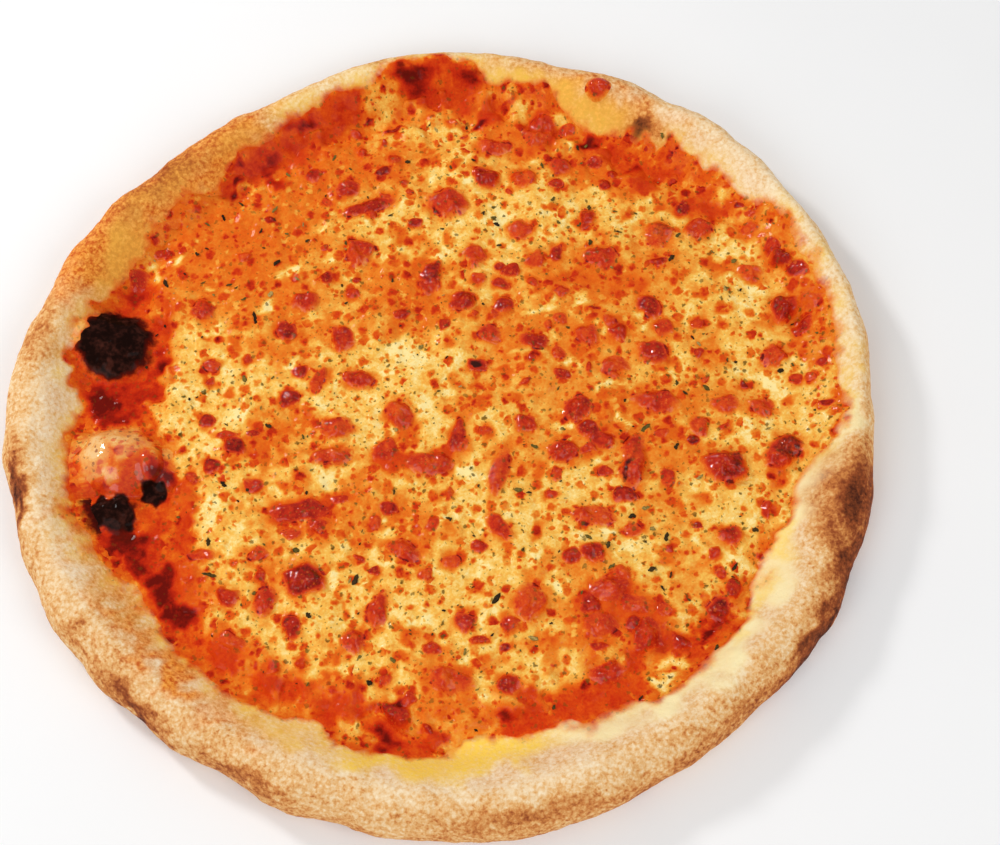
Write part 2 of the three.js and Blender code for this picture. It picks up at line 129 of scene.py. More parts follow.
@dataclass(frozen=True)
class Patch:
    """A soft turned ellipse in plan.

    Attributes:
        x: its middle along X.
        y: its middle along Y.
        length: its long diameter.
        width: its short diameter.
        turn: the long diameter's angle from +X, in degrees.
        weight: how much it covers at its middle.
    """

    x: float
    y: float
    length: float
    width: float
    turn: float = 0.0
    weight: float = 1.0

    def share(self, x: Array, y: Array) -> Array:
        """How far points lie from the middle, with 1 on the ellipse."""
        c, s = math.cos(math.radians(self.turn)), math.sin(math.radians(self.turn))
        along = c * (x - self.x) + s * (y - self.y)
        across = c * (y - self.y) - s * (x - self.x)
        return np.hypot(2 * along / self.length, 2 * across / self.width)

    def cover(self, x: Array, y: Array, soft: float) -> Array:
        """The weight inside, falling smoothly to 0 over a band of the ellipse's size times twice soft."""
        return self.weight * (1 - smooth(self.share(x, y), 1 - soft, 1 + soft))


def patches(*rows: tuple[float, ...]) -> tuple[Patch, ...]:
    """Patches from rows of place, length and width, with turn and weight where they have them."""
    return tuple(Patch(*row) for row in rows)


STRAY_X: Swells = ((1.0, 13, 501), (0.5, 5, 502))
STRAY_Y: Swells = ((1.0, 13, 503), (0.5, 5, 504))


def painted(x: Array, y: Array, some: tuple[Patch, ...], soft: float = 0.5, stray: float = 2.5) -> Array:
    """The strongest of several patches, with edges that wander.

    Args:
        x: places along X.
        y: places along Y.
        some: the soft ellipses.
        soft: how wide their edges are, as a share of their size.
        stray: how far their edges wander, in millimetres.

    Returns:
        Cover from 0 to the largest weight.
    """
    near_x = x + stray * swells(STRAY_X, x, y)
    near_y = y + stray * swells(STRAY_Y, x, y)
    cover = np.zeros(np.shape(x))
    for patch in some:
        cover = np.maximum(cover, patch.cover(near_x, near_y, soft))
    return cover


class Ring:
    """A length that changes round the pizza: a smooth closed table against the angle."""

    STEPS = 720

    def __init__(self, angles: Array, lengths: Array, smoothing: float) -> None:
        """Fills the table from measured lengths.

        Args:
            angles: where the lengths were measured, in radians.
            lengths: the lengths.
            smoothing: the spread, in degrees, of the bell curve that the table is averaged with.
        """
        self.places = np.arange(self.STEPS) * TURN / self.STEPS
        table = np.interp(self.places, angles, lengths, period=TURN)
        away = np.minimum(np.arange(self.STEPS), self.STEPS - np.arange(self.STEPS)) * 360 / self.STEPS
        bell = np.exp(-0.5 * (away / smoothing) ** 2)
        spectrum = np.fft.rfft(table) * np.fft.rfft(bell / bell.sum())
        self.table = np.fft.irfft(spectrum, self.STEPS)

    def at(self, angle: Array) -> Array:
        """The length at angles in radians, straight between table entries."""
        return np.interp(angle, self.places, self.table, period=TURN)


def node_points(name: str) -> Array:
    """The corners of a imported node's mesh, in millimetres."""
    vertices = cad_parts[name].data.vertices
    flat = np.empty(3 * len(vertices), np.float32)
    vertices.foreach_get("co", flat)
    return flat.reshape(-1, 3).astype(float) / MM


def outline(points: Array, sector: float, smoothing: float) -> tuple[Ring, Ring, Ring]:
    """What a flat round node reaches, sector by sector.

    Args:
        points: the node's corners.
        sector: the sectors' width, in degrees.
        smoothing: the spread of the tables' averaging, in degrees.

    Returns:
        Its outermost radius, its greatest height, and the radius of that height.
    """
    radius = np.hypot(points[:, 0], points[:, 1])
    angle = np.arctan2(points[:, 1], points[:, 0]) % TURN
    count = round(360 / sector)
    place = np.round(angle / TURN * count).astype(int) % count
    outer = np.zeros(count)
    np.maximum.at(outer, place, radius)
    top = np.zeros(count)
    np.maximum.at(top, place, points[:, 2])
    crest = np.zeros(count)
    high = points[:, 2] > top[place] - SAME_HEIGHT
    np.maximum.at(crest, place[high], radius[high])
    seen = np.bincount(place, minlength=count) > 0
    angles = np.arange(count)[seen] * TURN / count
    return tuple(Ring(angles, value[seen], smoothing) for value in (outer, top, crest))


# Meshes.


def loft_faces(rows: int, columns: int) -> Array:
    """Four-sided faces of a grid whose columns close on themselves, row after row."""
    row, column = np.meshgrid(np.arange(rows - 1), np.arange(columns), indexing="ij")
    after = (column + 1) % columns
    corners = [row * columns + column, (row + 1) * columns + column,
               (row + 1) * columns + after, row * columns + after]
    return np.stack(corners, axis=-1).reshape(-1, 4)


def fan_faces(ring: Array, pole: int) -> Array:
    """Three-sided faces from a closed ring of corners to one pole."""
    return np.stack([ring, np.roll(ring, -1), np.full_like(ring, pole)], axis=-1)


def closed_lofts(grids: Array, tops: Array, bottoms: Array) -> tuple[Array, list[Array]]:
    """Joins grids into one mesh, each closed by a fan at its first row and one at its last.

    Args:
        grids: points by grid, row, column and axis, with columns that close on themselves.
        tops: the point that closes each grid's first row.
        bottoms: the point that closes each grid's last row.

    Returns:
        The corners, and the faces.
    """
    count, rows, columns, _ = grids.shape
    size = rows * columns
    points = np.concatenate([grids.reshape(count, -1, 3), tops[:, None], bottoms[:, None]], axis=1)
    ring = np.arange(columns)
    start = (np.arange(count) * (size + 2))[:, None, None]
    quads = loft_faces(rows, columns) + start
    upper = fan_faces(ring, size) + start
    lower = fan_faces(ring[::-1] + size - columns, size + 1) + start
    return points.reshape(-1, 3), [quads.reshape(-1, 4), upper.reshape(-1, 3), lower.reshape(-1, 3)]


def make_piece(name: str, points: Array, faces: list[Array], fields: dict[str, Array],
               material: bpy.types.Material) -> bpy.types.Object:
    """Puts arrays into a smooth mesh object with float attributes.

    Args:
        name: the object's name.
        points: corners in millimetres, one row each.
        faces: arrays of corner numbers, each with its own count of corners a face.
        fields: values for each corner, by attribute name.
        material: the finish.

    Returns:
        The linked object, at the origin.
    """
    mesh = bpy.data.meshes.new(name)
    mesh.from_pydata((points * MM).tolist(), [], [face for array in faces for face in array.tolist()])
    for key, values in fields.items():
        attribute = mesh.attributes.new(key, "FLOAT", "POINT")
        attribute.data.foreach_set("value", np.ascontiguousarray(values, np.float32).ravel())
    mesh.shade_smooth()
    mesh.materials.append(material)
    mesh.update()
    piece = bpy.data.objects.new(name, mesh)
    bpy.context.scene.collection.objects.link(piece)
    return piece


def put_on(piece: bpy.types.Object, nodes: tuple[str, ...]) -> bpy.types.Object:
    """Rides a piece on the part and hides the nodes that it stands for."""
    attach(piece, BODY)
    if nodes:
        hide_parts(*nodes)
    return piece


# Shader building.


class Sock:
    """A shader value: Python's operators on it add Math nodes."""

    def __init__(self, paint: "Paint", socket: bpy.types.NodeSocket) -> None:
        """Keeps the output socket and the paint that it belongs to."""
        self.paint = paint
        self.socket = socket

    def __add__(self, other: "Sock | float") -> "Sock":
        """This plus another value."""
        return self.paint.math("ADD", self, other)

    def __radd__(self, other: float) -> "Sock":
        """A number plus this."""
        return self.paint.math("ADD", other, self)

    def __sub__(self, other: "Sock | float") -> "Sock":
        """This less another value."""
        return self.paint.math("SUBTRACT", self, other)

    def __rsub__(self, other: float) -> "Sock":
        """A number less this."""
        return self.paint.math("SUBTRACT", other, self)

    def __mul__(self, other: "Sock | float") -> "Sock":
        """This times another value."""
        return self.paint.math("MULTIPLY", self, other)

    def __rmul__(self, other: float) -> "Sock":
        """A number times this."""
        return self.paint.math("MULTIPLY", other, self)

    def larger(self, other: "Sock | float") -> "Sock":
        """The larger of this and another value."""
        return self.paint.math("MAXIMUM", self, other)

    def step(self, low: float, high: float) -> "Sock":
        """A smooth step of this, 0 at low and 1 at high."""
        sockets = {"Value": self, "From Min": low, "From Max": high}
        return self.paint.value("ShaderNodeMapRange", {"interpolation_type": "SMOOTHSTEP"}, sockets, "Result")


class Paint:
    """One procedural material, built from expressions on Sock values."""

    def __init__(self, name: str, constants: dict[str, float | Colour]) -> None:
        """Starts a material whose shader has some sockets set for the whole surface.

        Args:
            name: the material's name.
            constants: values of the shader's own sockets.
        """
        self.material = bpy.data.materials.new(name)
        self.material.use_nodes = True
        self.tree = self.material.node_tree
        self.tree.nodes.clear()
        self.shader = self.node("ShaderNodeBsdfPrincipled", {}, constants)
        self.node("ShaderNodeOutputMaterial", {}, {"Surface": Sock(self, self.shader.outputs["BSDF"])})
        coordinates = self.node("ShaderNodeTexCoord", {}, {})
        self.place = Sock(self, coordinates.outputs["Object"])

    def node(self, kind: str, settings: dict, sockets: dict) -> bpy.types.Node:
        """Adds a node.

        Args:
            kind: the node's type.
            settings: its own options, set first.
            sockets: values or links of its inputs, by name or number.

        Returns:
            The node.
        """
        made = self.tree.nodes.new(kind)
        for key, value in settings.items():
            if key == "stops":
                self.set_stops(made.color_ramp, value)
            else:
                setattr(made, key, value)
        for key, value in sockets.items():
            if isinstance(value, Sock):
                self.tree.links.new(value.socket, made.inputs[key])
            elif isinstance(value, tuple) and made.inputs[key].type == "RGBA":
                made.inputs[key].default_value = (*value, 1.0)
            else:
                made.inputs[key].default_value = value
        return made

    @staticmethod
    def set_stops(ramp: bpy.types.ColorRamp, stops: Stops) -> None:
        """Fills a ramp with places and colours, the first two in the stops that it starts with."""
        while len(ramp.elements) < len(stops):
            ramp.elements.new(1.0)
        for element, (place, colour) in zip(ramp.elements, stops):
            element.position = place
            element.color = (*colour, 1.0)

    def ramp(self, share: Sock, stops: Stops) -> Sock:
        """The colour at a share of the way along a row of stops."""
        return self.value("ShaderNodeValToRGB", {"stops": stops}, {"Fac": share}, "Color")

    def value(self, kind: str, settings: dict, sockets: dict, output: str | int) -> Sock:
        """Adds a node and gives one of its outputs."""
        return Sock(self, self.node(kind, settings, sockets).outputs[output])

    def math(self, operation: str, first: Sock | float, second: Sock | float) -> Sock:
        """Adds a Math node on two values."""
        return self.value("ShaderNodeMath", {"operation": operation}, {0: first, 1: second}, 0)

    def field(self, name: str) -> Sock:
        """A float attribute of the piece."""
        return self.value("ShaderNodeAttribute", {"attribute_name": name}, {}, "Fac")

    def noise(self, size: float, detail: float = 2.0, stray: float = 0.0) -> Sock:
        """Cloudy noise from 0 to 1.

        Args:
            size: the size of its blobs, in millimetres.
            detail: how many finer layers it has.
            stray: how far the blobs are drawn out of shape.

        Returns:
            The noise, with 0.5 as its middle.
        """
        sockets = {"Vector": self.place, "Scale": 1 / (size * MM), "Detail": detail, "Distortion": stray}
        return self.value("ShaderNodeTexNoise", {}, sockets, "Fac")

    def dots(self, size: float, least: float, most: float, stray: float, soft: float = 0.12) -> Sock:
        """Round spots of uneven size in plan, one in each cell of a random pattern.

        Args:
            size: the cells' size, in millimetres.
            least: the smallest spot's radius, as a share of the cell; below 0 leaves cells empty.
            most: the largest spot's radius, as a share of the cell.
            stray: how far noise pulls the spots out of round, as a share of the cell.
            soft: how wide their edges are, as a share of the cell.

        Returns:
            1 inside the spots and 0 outside.
        """
        bent = self.value("ShaderNodeTexNoise", {}, {"Vector": self.place, "Scale": 2 / (size * MM)}, "Color")
        shift = self.value("ShaderNodeVectorMath", {"operation": "SCALE"},
                           {0: bent, "Scale": stray * size * MM}, "Vector")
        moved = self.value("ShaderNodeVectorMath", {"operation": "ADD"}, {0: self.place, 1: shift}, "Vector")
        sockets = {"Vector": moved, "Scale": 1 / (size * MM)}
        cells = self.node("ShaderNodeTexVoronoi", {"voronoi_dimensions": "2D"}, sockets)
        away = Sock(self, cells.outputs["Distance"])
        draw = self.value("ShaderNodeSeparateColor", {}, {"Color": Sock(self, cells.outputs["Color"])}, "Red")
        return (draw * (most - least) + least - away).step(0.0, soft)

    def pebbles(self, size: float) -> Sock:
        """How far points lie from the middles of random cells, in cells of a size in millimetres."""
        sockets = {"Vector": self.place, "Scale": 1 / (size * MM)}
        return self.value("ShaderNodeTexVoronoi", {}, sockets, "Distance")

    def blend(self, share: Sock | float, first: Sock | Colour, second: Sock | Colour) -> Sock:
        """A colour between two, second where share is 1."""
        settings = {"data_type": "RGBA", "clamp_factor": True}
        return self.value("ShaderNodeMix", settings, {0: share, 6: first, 7: second}, 2)

    def bump(self, height: Sock, depth: float, strength: float) -> Sock:
        """A bent normal.

        Args:
            height: relief, from 0 to about 1.
            depth: what 1 stands for, in millimetres.
            strength: how much of it shows.

        Returns:
            The normal.
        """
        sockets = {"Height": height, "Distance": depth * MM, "Strength": strength}
        return self.value("ShaderNodeBump", {}, sockets, "Normal")

    def finish(self, sockets: dict[str, Sock]) -> bpy.types.Material:
        """Links what varies over the surface to the shader and gives the material."""
        for key, value in sockets.items():
            self.tree.links.new(value.socket, self.shader.inputs[key])
        return self.material


# The baked form that every layer follows.


@dataclass(frozen=True)
class Bubble(Patch):
    """A place where the dough puffed up under the sauce.

    Attributes:
        height: how far it rises.
        fullness: the power that shapes it, lower where it is fuller.
    """

    height: float = 0.0
    fullness: float = 1.0

    def rise(self, x: Array, y: Array) -> Array:
        """Height times (1 less the squared share) to the power of the fullness."""
        return self.height * np.clip(1 - self.share(x, y) ** 2, 0.0, 1.0) ** self.fullness


@dataclass
class BakedForm:
    """Heights of dough, sauce and cheese in plan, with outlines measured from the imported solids.

    Attributes:
        base: thickness of the flat middle of the dough.
        slope: width of the rim's inner slope.
        equator: height where the rim reaches furthest out.
        foot: how far the underside stays inside the rim.
        sauce_lift: from the dough up to the sauce's surface.
        cheese_lift: from the sauce's surface up to the cheese's.
        dip: how deep a layer ends under the one that it lies on.
        lowest: the least height of the cheese's hidden edge.
        sauce_margin: how far the sauce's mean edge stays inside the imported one.
        cheese_margin: how far the cheese's edge stays inside the sauce's.
        sauce_wander: waves along the sauce's edge.
        sauce_swells: waves on its surface.
        cheese_ragged: waves along the cheese's edge.
        cheese_swells: waves and crumbs on its surface.
        bubbles: where the dough is puffed.
        bare: where no cheese lies on the sauce, with how far its edge draws back.
        far: where the sauce's edge runs further out, and how far.
        back: where it stays further in, and how far.
    """

    base: float = 4.0
    slope: float = 21.0
    equator: float = 7.0
    foot: float = 6.0
    sauce_lift: float = 1.5
    cheese_lift: float = 2.4
    dip: float = 3.0
    lowest: float = 1.0
    sauce_margin: float = 2.0
    cheese_margin: float = 1.0
    sauce_wander: Swells = ((1.4, 24, 31), (0.5, 10, 32), (0.15, 4, 35))
    sauce_swells: Swells = ((0.16, 7, 33), (0.07, 3.4, 34))
    cheese_ragged: Swells = ((3.0, 30, 41), (2.2, 13, 42), (1.2, 6, 47))
    cheese_swells: Swells = ((0.4, 24, 43), (0.17, 8, 44), (0.14, 4.2, 45), (0.09, 2.4, 46))
    bubbles: tuple[Bubble, ...] = (
        Bubble(-123, 27, 29, 29, 0, 1, 7, 0.9),
        Bubble(-117, -19, 34, 27, -6, 1, 10, 0.7),
        Bubble(-102, -21, 11, 20, 15, 1, 3, 1.0),
        Bubble(-117, -38, 24, 17, 0, 1, 4, 1.2),
    )
    bare: tuple[Patch, ...] = patches((-116, -20, 34, 40, 0, 16), (-114, 29, 30, 46, 0, 12))
    far: tuple[Patch, ...] = patches(
        (-101, 90, 66, 32, 42, 1), (-2, 146, 34, 24, 0, 2), (88, -101, 40, 30, 40, 3),
        (146, 1, 18, 18, 0, 5), (-134, 27, 20, 28, 0, 4), (-24, -125, 24, 16, 0, 3),
    )
    back: tuple[Patch, ...] = patches(
        (113, 98, 44, 24, -50, 4), (58, 122, 40, 22, -24, 1), (71, 119, 26, 20, -30, 4.5),
        (25, -122, 38, 22, 5, 4), (122, -58, 28, 14, 62, 2), (-138, -4, 20, 64, 0, 2),
        (-126, 60, 24, 34, -20, 4),
    )

    def __post_init__(self) -> None:
        """Measures the outlines of the three packed layers."""
        self.crust, self.rim, self.crest = outline(node_points("dough"), 5, 2.5)
        self.sauce = outline(node_points("tomato_sauce"), 5, 2.5)[0]
        self.cheese = outline(node_points("melted_cheese"), 6, 3)[0]

    def dough(self, x: Array, y: Array) -> Array:
        """The flat base, a smooth step up to the crest, a quarter ellipse outside it, and the bubbles."""
        angle = np.arctan2(y, x)
        crest, rim = self.crest.at(angle), self.rim.at(angle)
        out = (np.hypot(x, y) - crest) / (self.crust.at(angle) - crest)
        inside = self.base + (rim - self.base) * smooth((np.hypot(x, y) - crest + self.slope) / self.slope)
        outside = self.equator + (rim - self.equator) * np.sqrt(1 - np.clip(out, 0, 1) ** 2)
        return np.where(out < 0, inside, outside) + sum(bubble.rise(x, y) for bubble in self.bubbles)

    def sauce_inset(self, x: Array, y: Array) -> Array:
        """How far points lie inside the sauce's wandering edge, in millimetres."""
        edge = self.sauce.at(np.arctan2(y, x)) - self.sauce_margin + swells(self.sauce_wander, x, y)
        return edge + painted(x, y, self.far) - painted(x, y, self.back) - np.hypot(x, y)

    def sauce_level(self, x: Array, y: Array) -> Array:
        """The dough with the sauce's lift inside its edge, and a dip under the dough outside it."""
        inset = self.sauce_inset(x, y)
        return self.dough(x, y) + self.sauce_lift * smooth(inset, -3, 7) - self.dip * smooth(-inset, 0, 7)

    def sauce_top(self, x: Array, y: Array) -> Array:
        """The sauce's level with small swells inside its edge."""
        inside = smooth(self.sauce_inset(x, y), 0, 6)
        return self.sauce_level(x, y) + swells(self.sauce_swells, x, y) * inside

    def cheese_inset(self, x: Array, y: Array) -> Array:
        """How far points lie inside the cheese's ragged edge, itself inside the sauce's, in millimetres."""
        edge = self.cheese.at(np.arctan2(y, x)) + swells(self.cheese_ragged, x, y)
        inset = edge - np.hypot(x, y) - painted(x, y, self.bare)
        return np.minimum(inset, self.sauce_inset(x, y) - self.cheese_margin)

    def cheese_top(self, x: Array, y: Array) -> Array:
        """The sauce's level, the cheese's lift with crumbly swells, and a dip under the sauce outside."""
        inset = self.cheese_inset(x, y)
        lift = (self.cheese_lift + swells(self.cheese_swells, x, y)) * smooth(inset, -5, 9)
        return np.maximum(self.sauce_level(x, y) + lift - self.dip * smooth(-inset, 1, 8), self.lowest)

    def ground(self, x: Array, y: Array) -> Array:
        """The highest of dough, sauce and cheese."""
        return np.maximum.reduce([self.dough(x, y), self.sauce_top(x, y), self.cheese_top(x, y)])


# Finishes.


@dataclass(frozen=True)
class ToppingColour:
    """The colours, cream to maroon, that crust, sauce, cheese and sobrasada share where they meet.

    Attributes:
        stops: the row of colours, by richness.
        speck: small brown specks.
    """

    stops: Stops = (
        (0.0, paint_colour(255, 230, 156)),
        (0.08, paint_colour(252, 213, 124)),
        (0.18, paint_colour(247, 190, 84)),
        (0.3, paint_colour(240, 159, 60)),
        (0.42, paint_colour(235, 131, 38)),
        (0.55, paint_colour(228, 104, 24)),
        (0.68, paint_colour(217, 75, 19)),
        (0.8, paint_colour(199, 48, 16)),
        (0.9, paint_colour(170, 32, 14)),
        (1.0, paint_colour(106, 18, 11)),
    )
    speck: Colour = paint_colour(98, 74, 22)

    def spots(self, paint: Paint) -> Sock:
        """Two sizes of soft orange spots."""
        large = paint.dots(5.4, 0.0, 0.52, 0.6, 0.26)
        return large.larger(paint.dots(3.0, -0.25, 0.44, 0.6, 0.26) * 0.8)

    def on(self, paint: Paint, least: float = 0.1) -> Sock:
        """Runs along the stops by richness, noise, orange spots and pale flecks, with brown specks on top.

        Args:
            paint: the material.
            least: how much of the noise is left where the richness is 1.

        Returns:
            The colour.
        """
        cloud = paint.noise(7.0, 3.0, 0.3)
        blotch = paint.noise(2.6, 4.0, 0.8)
        fine = paint.noise(0.9, 3.0, 0.3)
        rich = paint.field("rich")
        play = (cloud - 0.5) * 0.55 + (blotch - 0.5) * 0.45 + (fine - 0.5) * 0.35
        share = 1.0 + least - rich
        fade = 1.0 - rich.step(0.55, 0.75)
        spots = self.spots(paint) * (0.1 + cloud * 0.7) * fade
        flecks = paint.dots(4.2, -0.25, 0.4, 0.8, 0.2) * rich.step(0.3, 0.5) * fade
        base = paint.ramp(rich + share * (play + spots) - flecks * 0.2, self.stops)
        specks = paint.dots(3.6, -0.1, 0.27, 0.7).larger(paint.dots(2.0, -0.35, 0.27, 0.7) * 0.85)
        return paint.blend(specks * share * (0.35 + blotch), base, self.speck)


TOPPING_COLOUR = ToppingColour()


@dataclass(frozen=True)
class CrustFinish:
    """Baked dough: floury cream to toasted grains, brown and burnt patches, oil along the sauce, and painted
    light on the inner slope and lip.

    Attributes:
        stops: the row of colours from floury to burnt.
        glow: painted light, a pale band along the rim's inner lip that stands in for bright light.
        tan: dark grains of the golden rim.
        honey: its light grains.
        oil: dough that is soaked with oil.
    """

    stops: Stops = (
        (0.0, paint_colour(252, 232, 198)),
        (0.25, paint_colour(242, 208, 160)),
        (0.45, paint_colour(230, 176, 110)),
        (0.62, paint_colour(206, 130, 66)),
        (0.8, paint_colour(154, 76, 36)),
        (1.0, paint_colour(78, 33, 15)),
    )
    glow: Colour = paint_colour(255, 240, 186)
    tan: Colour = paint_colour(204, 88, 24)
    honey: Colour = paint_colour(255, 168, 54)
    oil: Colour = paint_colour(255, 214, 88)

    def material(self) -> bpy.types.Material:
        """Runs along the stops by fields and grain, then lays tan, painted light on the lip, oil and topping
        over them.
        """
        paint = Paint("baked_crust", {"Roughness": 0.75, "Specular IOR Level": 0.15})
        grain = paint.noise(1.5, 3.0, 0.4)
        cloud = paint.noise(9.0, 3.0)
        fine = paint.noise(0.7, 2.0)
        pebble = paint.pebbles(1.7)
        sand = grain - 0.5 + (pebble - 0.42) * 0.3 + (fine - 0.5) * 0.45
        spots = 0.12 + (cloud + (grain - 0.5) * 0.3).step(0.46, 0.72) * 0.6
        brown = paint.field("brown") + paint.field("under") * spots
        bake = 0.38 + (sand * 0.8 + (cloud - 0.5) * 0.35) * (1.0 - brown * 0.6) + paint.field("toast") * 0.24
        # The pale field holds flour, and painted light on the rim's inner slope.
        bake = bake + brown * 0.62 - paint.field("pale") * 0.2
        base = paint.ramp(bake, self.stops)
        tan = paint.blend(0.55 - sand * 2.4, self.tan, self.honey)
        base = paint.blend(paint.field("tan") * (0.94 + sand * 0.3) * (1.0 - brown), base, tan)
        # Painted light: a pale band along the rim's inner lip, as if brightly lit.
        base = paint.blend(paint.field("glow") * (0.95 + sand * 0.3), base, self.glow)
        base = paint.blend(paint.field("oil") * (0.88 + sand * 0.9) * (1.0 - brown), base, self.oil)
        wet = (paint.field("wet") + (cloud - 0.5) * 0.3 + sand * 0.12).step(0.05, 0.95)
        base = paint.blend(wet, base, TOPPING_COLOUR.on(paint))
        relief = grain * 0.5 + fine * 0.25 - pebble * 0.22 + paint.noise(3.4, 2.0) * 0.3
        normal = paint.bump(relief, 0.9, 0.45)
        return paint.finish({"Base Color": base, "Roughness": 0.8 - wet * 0.3, "Normal": normal})


@dataclass(frozen=True)
class SauceFinish:
    """Cooked tomato sauce: the topping's colours, glossy on one bubble with a painted highlight, and char.

    Attributes:
        char: the darkest of what is burnt.
        ash: the lightest of it.
        singed: the edge round it.
        skin_and_painted_highlight: a bubble's pale skin, with a painted highlight on its lit side.
    """

    char: Colour = paint_colour(24, 9, 6)
    ash: Colour = paint_colour(70, 34, 26)
    singed: Colour = paint_colour(92, 18, 8)
    skin_and_painted_highlight: Colour = paint_colour(226, 140, 100)

    def material(self) -> bpy.types.Material:
        """Lays a bubble's pale skin and painted highlight, singed edges and char over the topping's colours.
        """
        constants = {"Specular IOR Level": 0.0, "Coat Roughness": 0.08}
        paint = Paint("cooked_tomato_sauce", constants)
        cloud = paint.noise(5.0, 4.0, 0.4)
        fine = paint.noise(1.6, 3.0)
        # The bubble's pale skin, partly a painted highlight on its lit upper left.
        pale = paint.field("gloss") * 0.45 * (1.0 - paint.field("rich").step(0.2, 0.6))
        base = paint.blend(pale, TOPPING_COLOUR.on(paint, 0.3), self.skin_and_painted_highlight)
        burn = paint.field("char") + (fine - 0.5) * 0.4 + (cloud - 0.5) * 0.4
        base = paint.blend(burn.step(0.1, 0.5), base, self.singed)
        char = burn.step(0.35, 0.75)
        ash = paint.blend((cloud + (fine - 0.5) * 0.6).step(0.4, 0.85), self.char, self.ash)
        base = paint.blend(char, base, ash)
        normal = paint.bump(fine * 0.6 + cloud * 0.4, 0.6, 0.35)
        rough = 0.36 + char * 0.24 + (fine - 0.5) * 0.2
        coat = 0.06 + paint.field("gloss") * 0.6 * (1.0 - char)
        return paint.finish({"Base Color": base, "Roughness": rough, "Coat Weight": coat, "Normal": normal})


@dataclass(frozen=True)
class CheeseFinish:
    """Melted cheese with a satin, crumbly surface, in the topping's colours."""

    def material(self) -> bpy.types.Material:
        """The topping's colours over two sizes of soft relief, with its spots raised."""
        constants = {"Specular IOR Level": 0.0, "Coat Roughness": 0.1, "Coat Weight": 0.12}
        paint = Paint("melted_cheese", constants)
        blotch = paint.noise(3.0, 4.0, 0.6)
        fine = paint.noise(1.2, 2.0)
        normal = paint.bump(blotch * 0.5 + fine * 0.3 + TOPPING_COLOUR.spots(paint) * 0.35, 0.8, 0.5)
        rough = 0.4 + (fine - 0.5) * 0.3
        return paint.finish({"Base Color": TOPPING_COLOUR.on(paint), "Roughness": rough, "Normal": normal})


@dataclass(frozen=True)
class SobrasadaFinish:
    """Soft cured sausage in the topping's colours, with an oily shine, burnt in a few places.

    Attributes:
        burnt: what is burnt.
        fat: grains of fat.
    """

    burnt: Colour = paint_colour(58, 16, 8)
    fat: Colour = paint_colour(232, 112, 40)

    def material(self) -> bpy.types.Material:
        """Lays grains of fat and burns over the topping's colours."""
        constants = {"Specular IOR Level": 0.0, "Coat Roughness": 0.05, "Coat Weight": 0.36}
        paint = Paint("sobrasada", constants)
        cloud = paint.noise(4.0, 3.0)
        fine = paint.noise(1.3, 2.0)
        burn = (paint.field("burn") + (fine - 0.5) * 0.9).step(0.25, 0.95)
        grains = paint.dots(1.8, -0.25, 0.42, 0.8, 0.25).larger(paint.dots(1.1, -0.3, 0.4, 0.8, 0.25))
        base = paint.blend(grains * (cloud * 0.9 - 0.1), TOPPING_COLOUR.on(paint, 0.45), self.fat)
        base = paint.blend(burn, base, self.burnt)
        normal = paint.bump(fine * 0.3 + cloud * 0.7, 0.7, 0.3)
        rough = 0.36 + (fine - 0.5) * 0.3
        return paint.finish({"Base Color": base, "Roughness": rough, "Normal": normal})


@dataclass(frozen=True)
class HerbFinish:
    """Dried herbs: black, brown and olive, a few straw coloured.

    Attributes:
        stops: the row of colours from black to straw.
    """

    stops: Stops = (
        (0.0, paint_colour(36, 25, 14)),
        (0.35, paint_colour(66, 50, 22)),
        (0.6, paint_colour(98, 86, 34)),
        (0.85, paint_colour(134, 114, 50)),
        (1.0, paint_colour(184, 154, 90)),
    )

    def material(self) -> bpy.types.Material:
        """Runs along the stops by each flake's tone and by noise."""
        paint = Paint("dried_herbs", {"Roughness": 0.6, "Specular IOR Level": 0.1})
        fine = paint.noise(0.7, 2.0)
        base = paint.ramp(paint.field("tone") + (fine - 0.5) * 0.6, self.stops)
        return paint.finish({"Base Color": base, "Normal": paint.bump(fine, 0.2, 0.5)})


# What lies where on the dough.


@dataclass(frozen=True)
class Layer:
    """Patches of one richness, painted over what is there.

    Attributes:
        level: their richness.
        soft: how wide their edges are, as a share of their size.
        stray: how far their edges wander, in millimetres.
        patches: where they lie.
    """

    level: float
    soft: float
    stray: float
    patches: tuple[Patch, ...]

    def over(self, rich: Array, x: Array, y: Array) -> Array:
        """The richness with this layer laid over it."""
        return rich + (self.level - rich) * painted(x, y, self.patches, self.soft, self.stray)


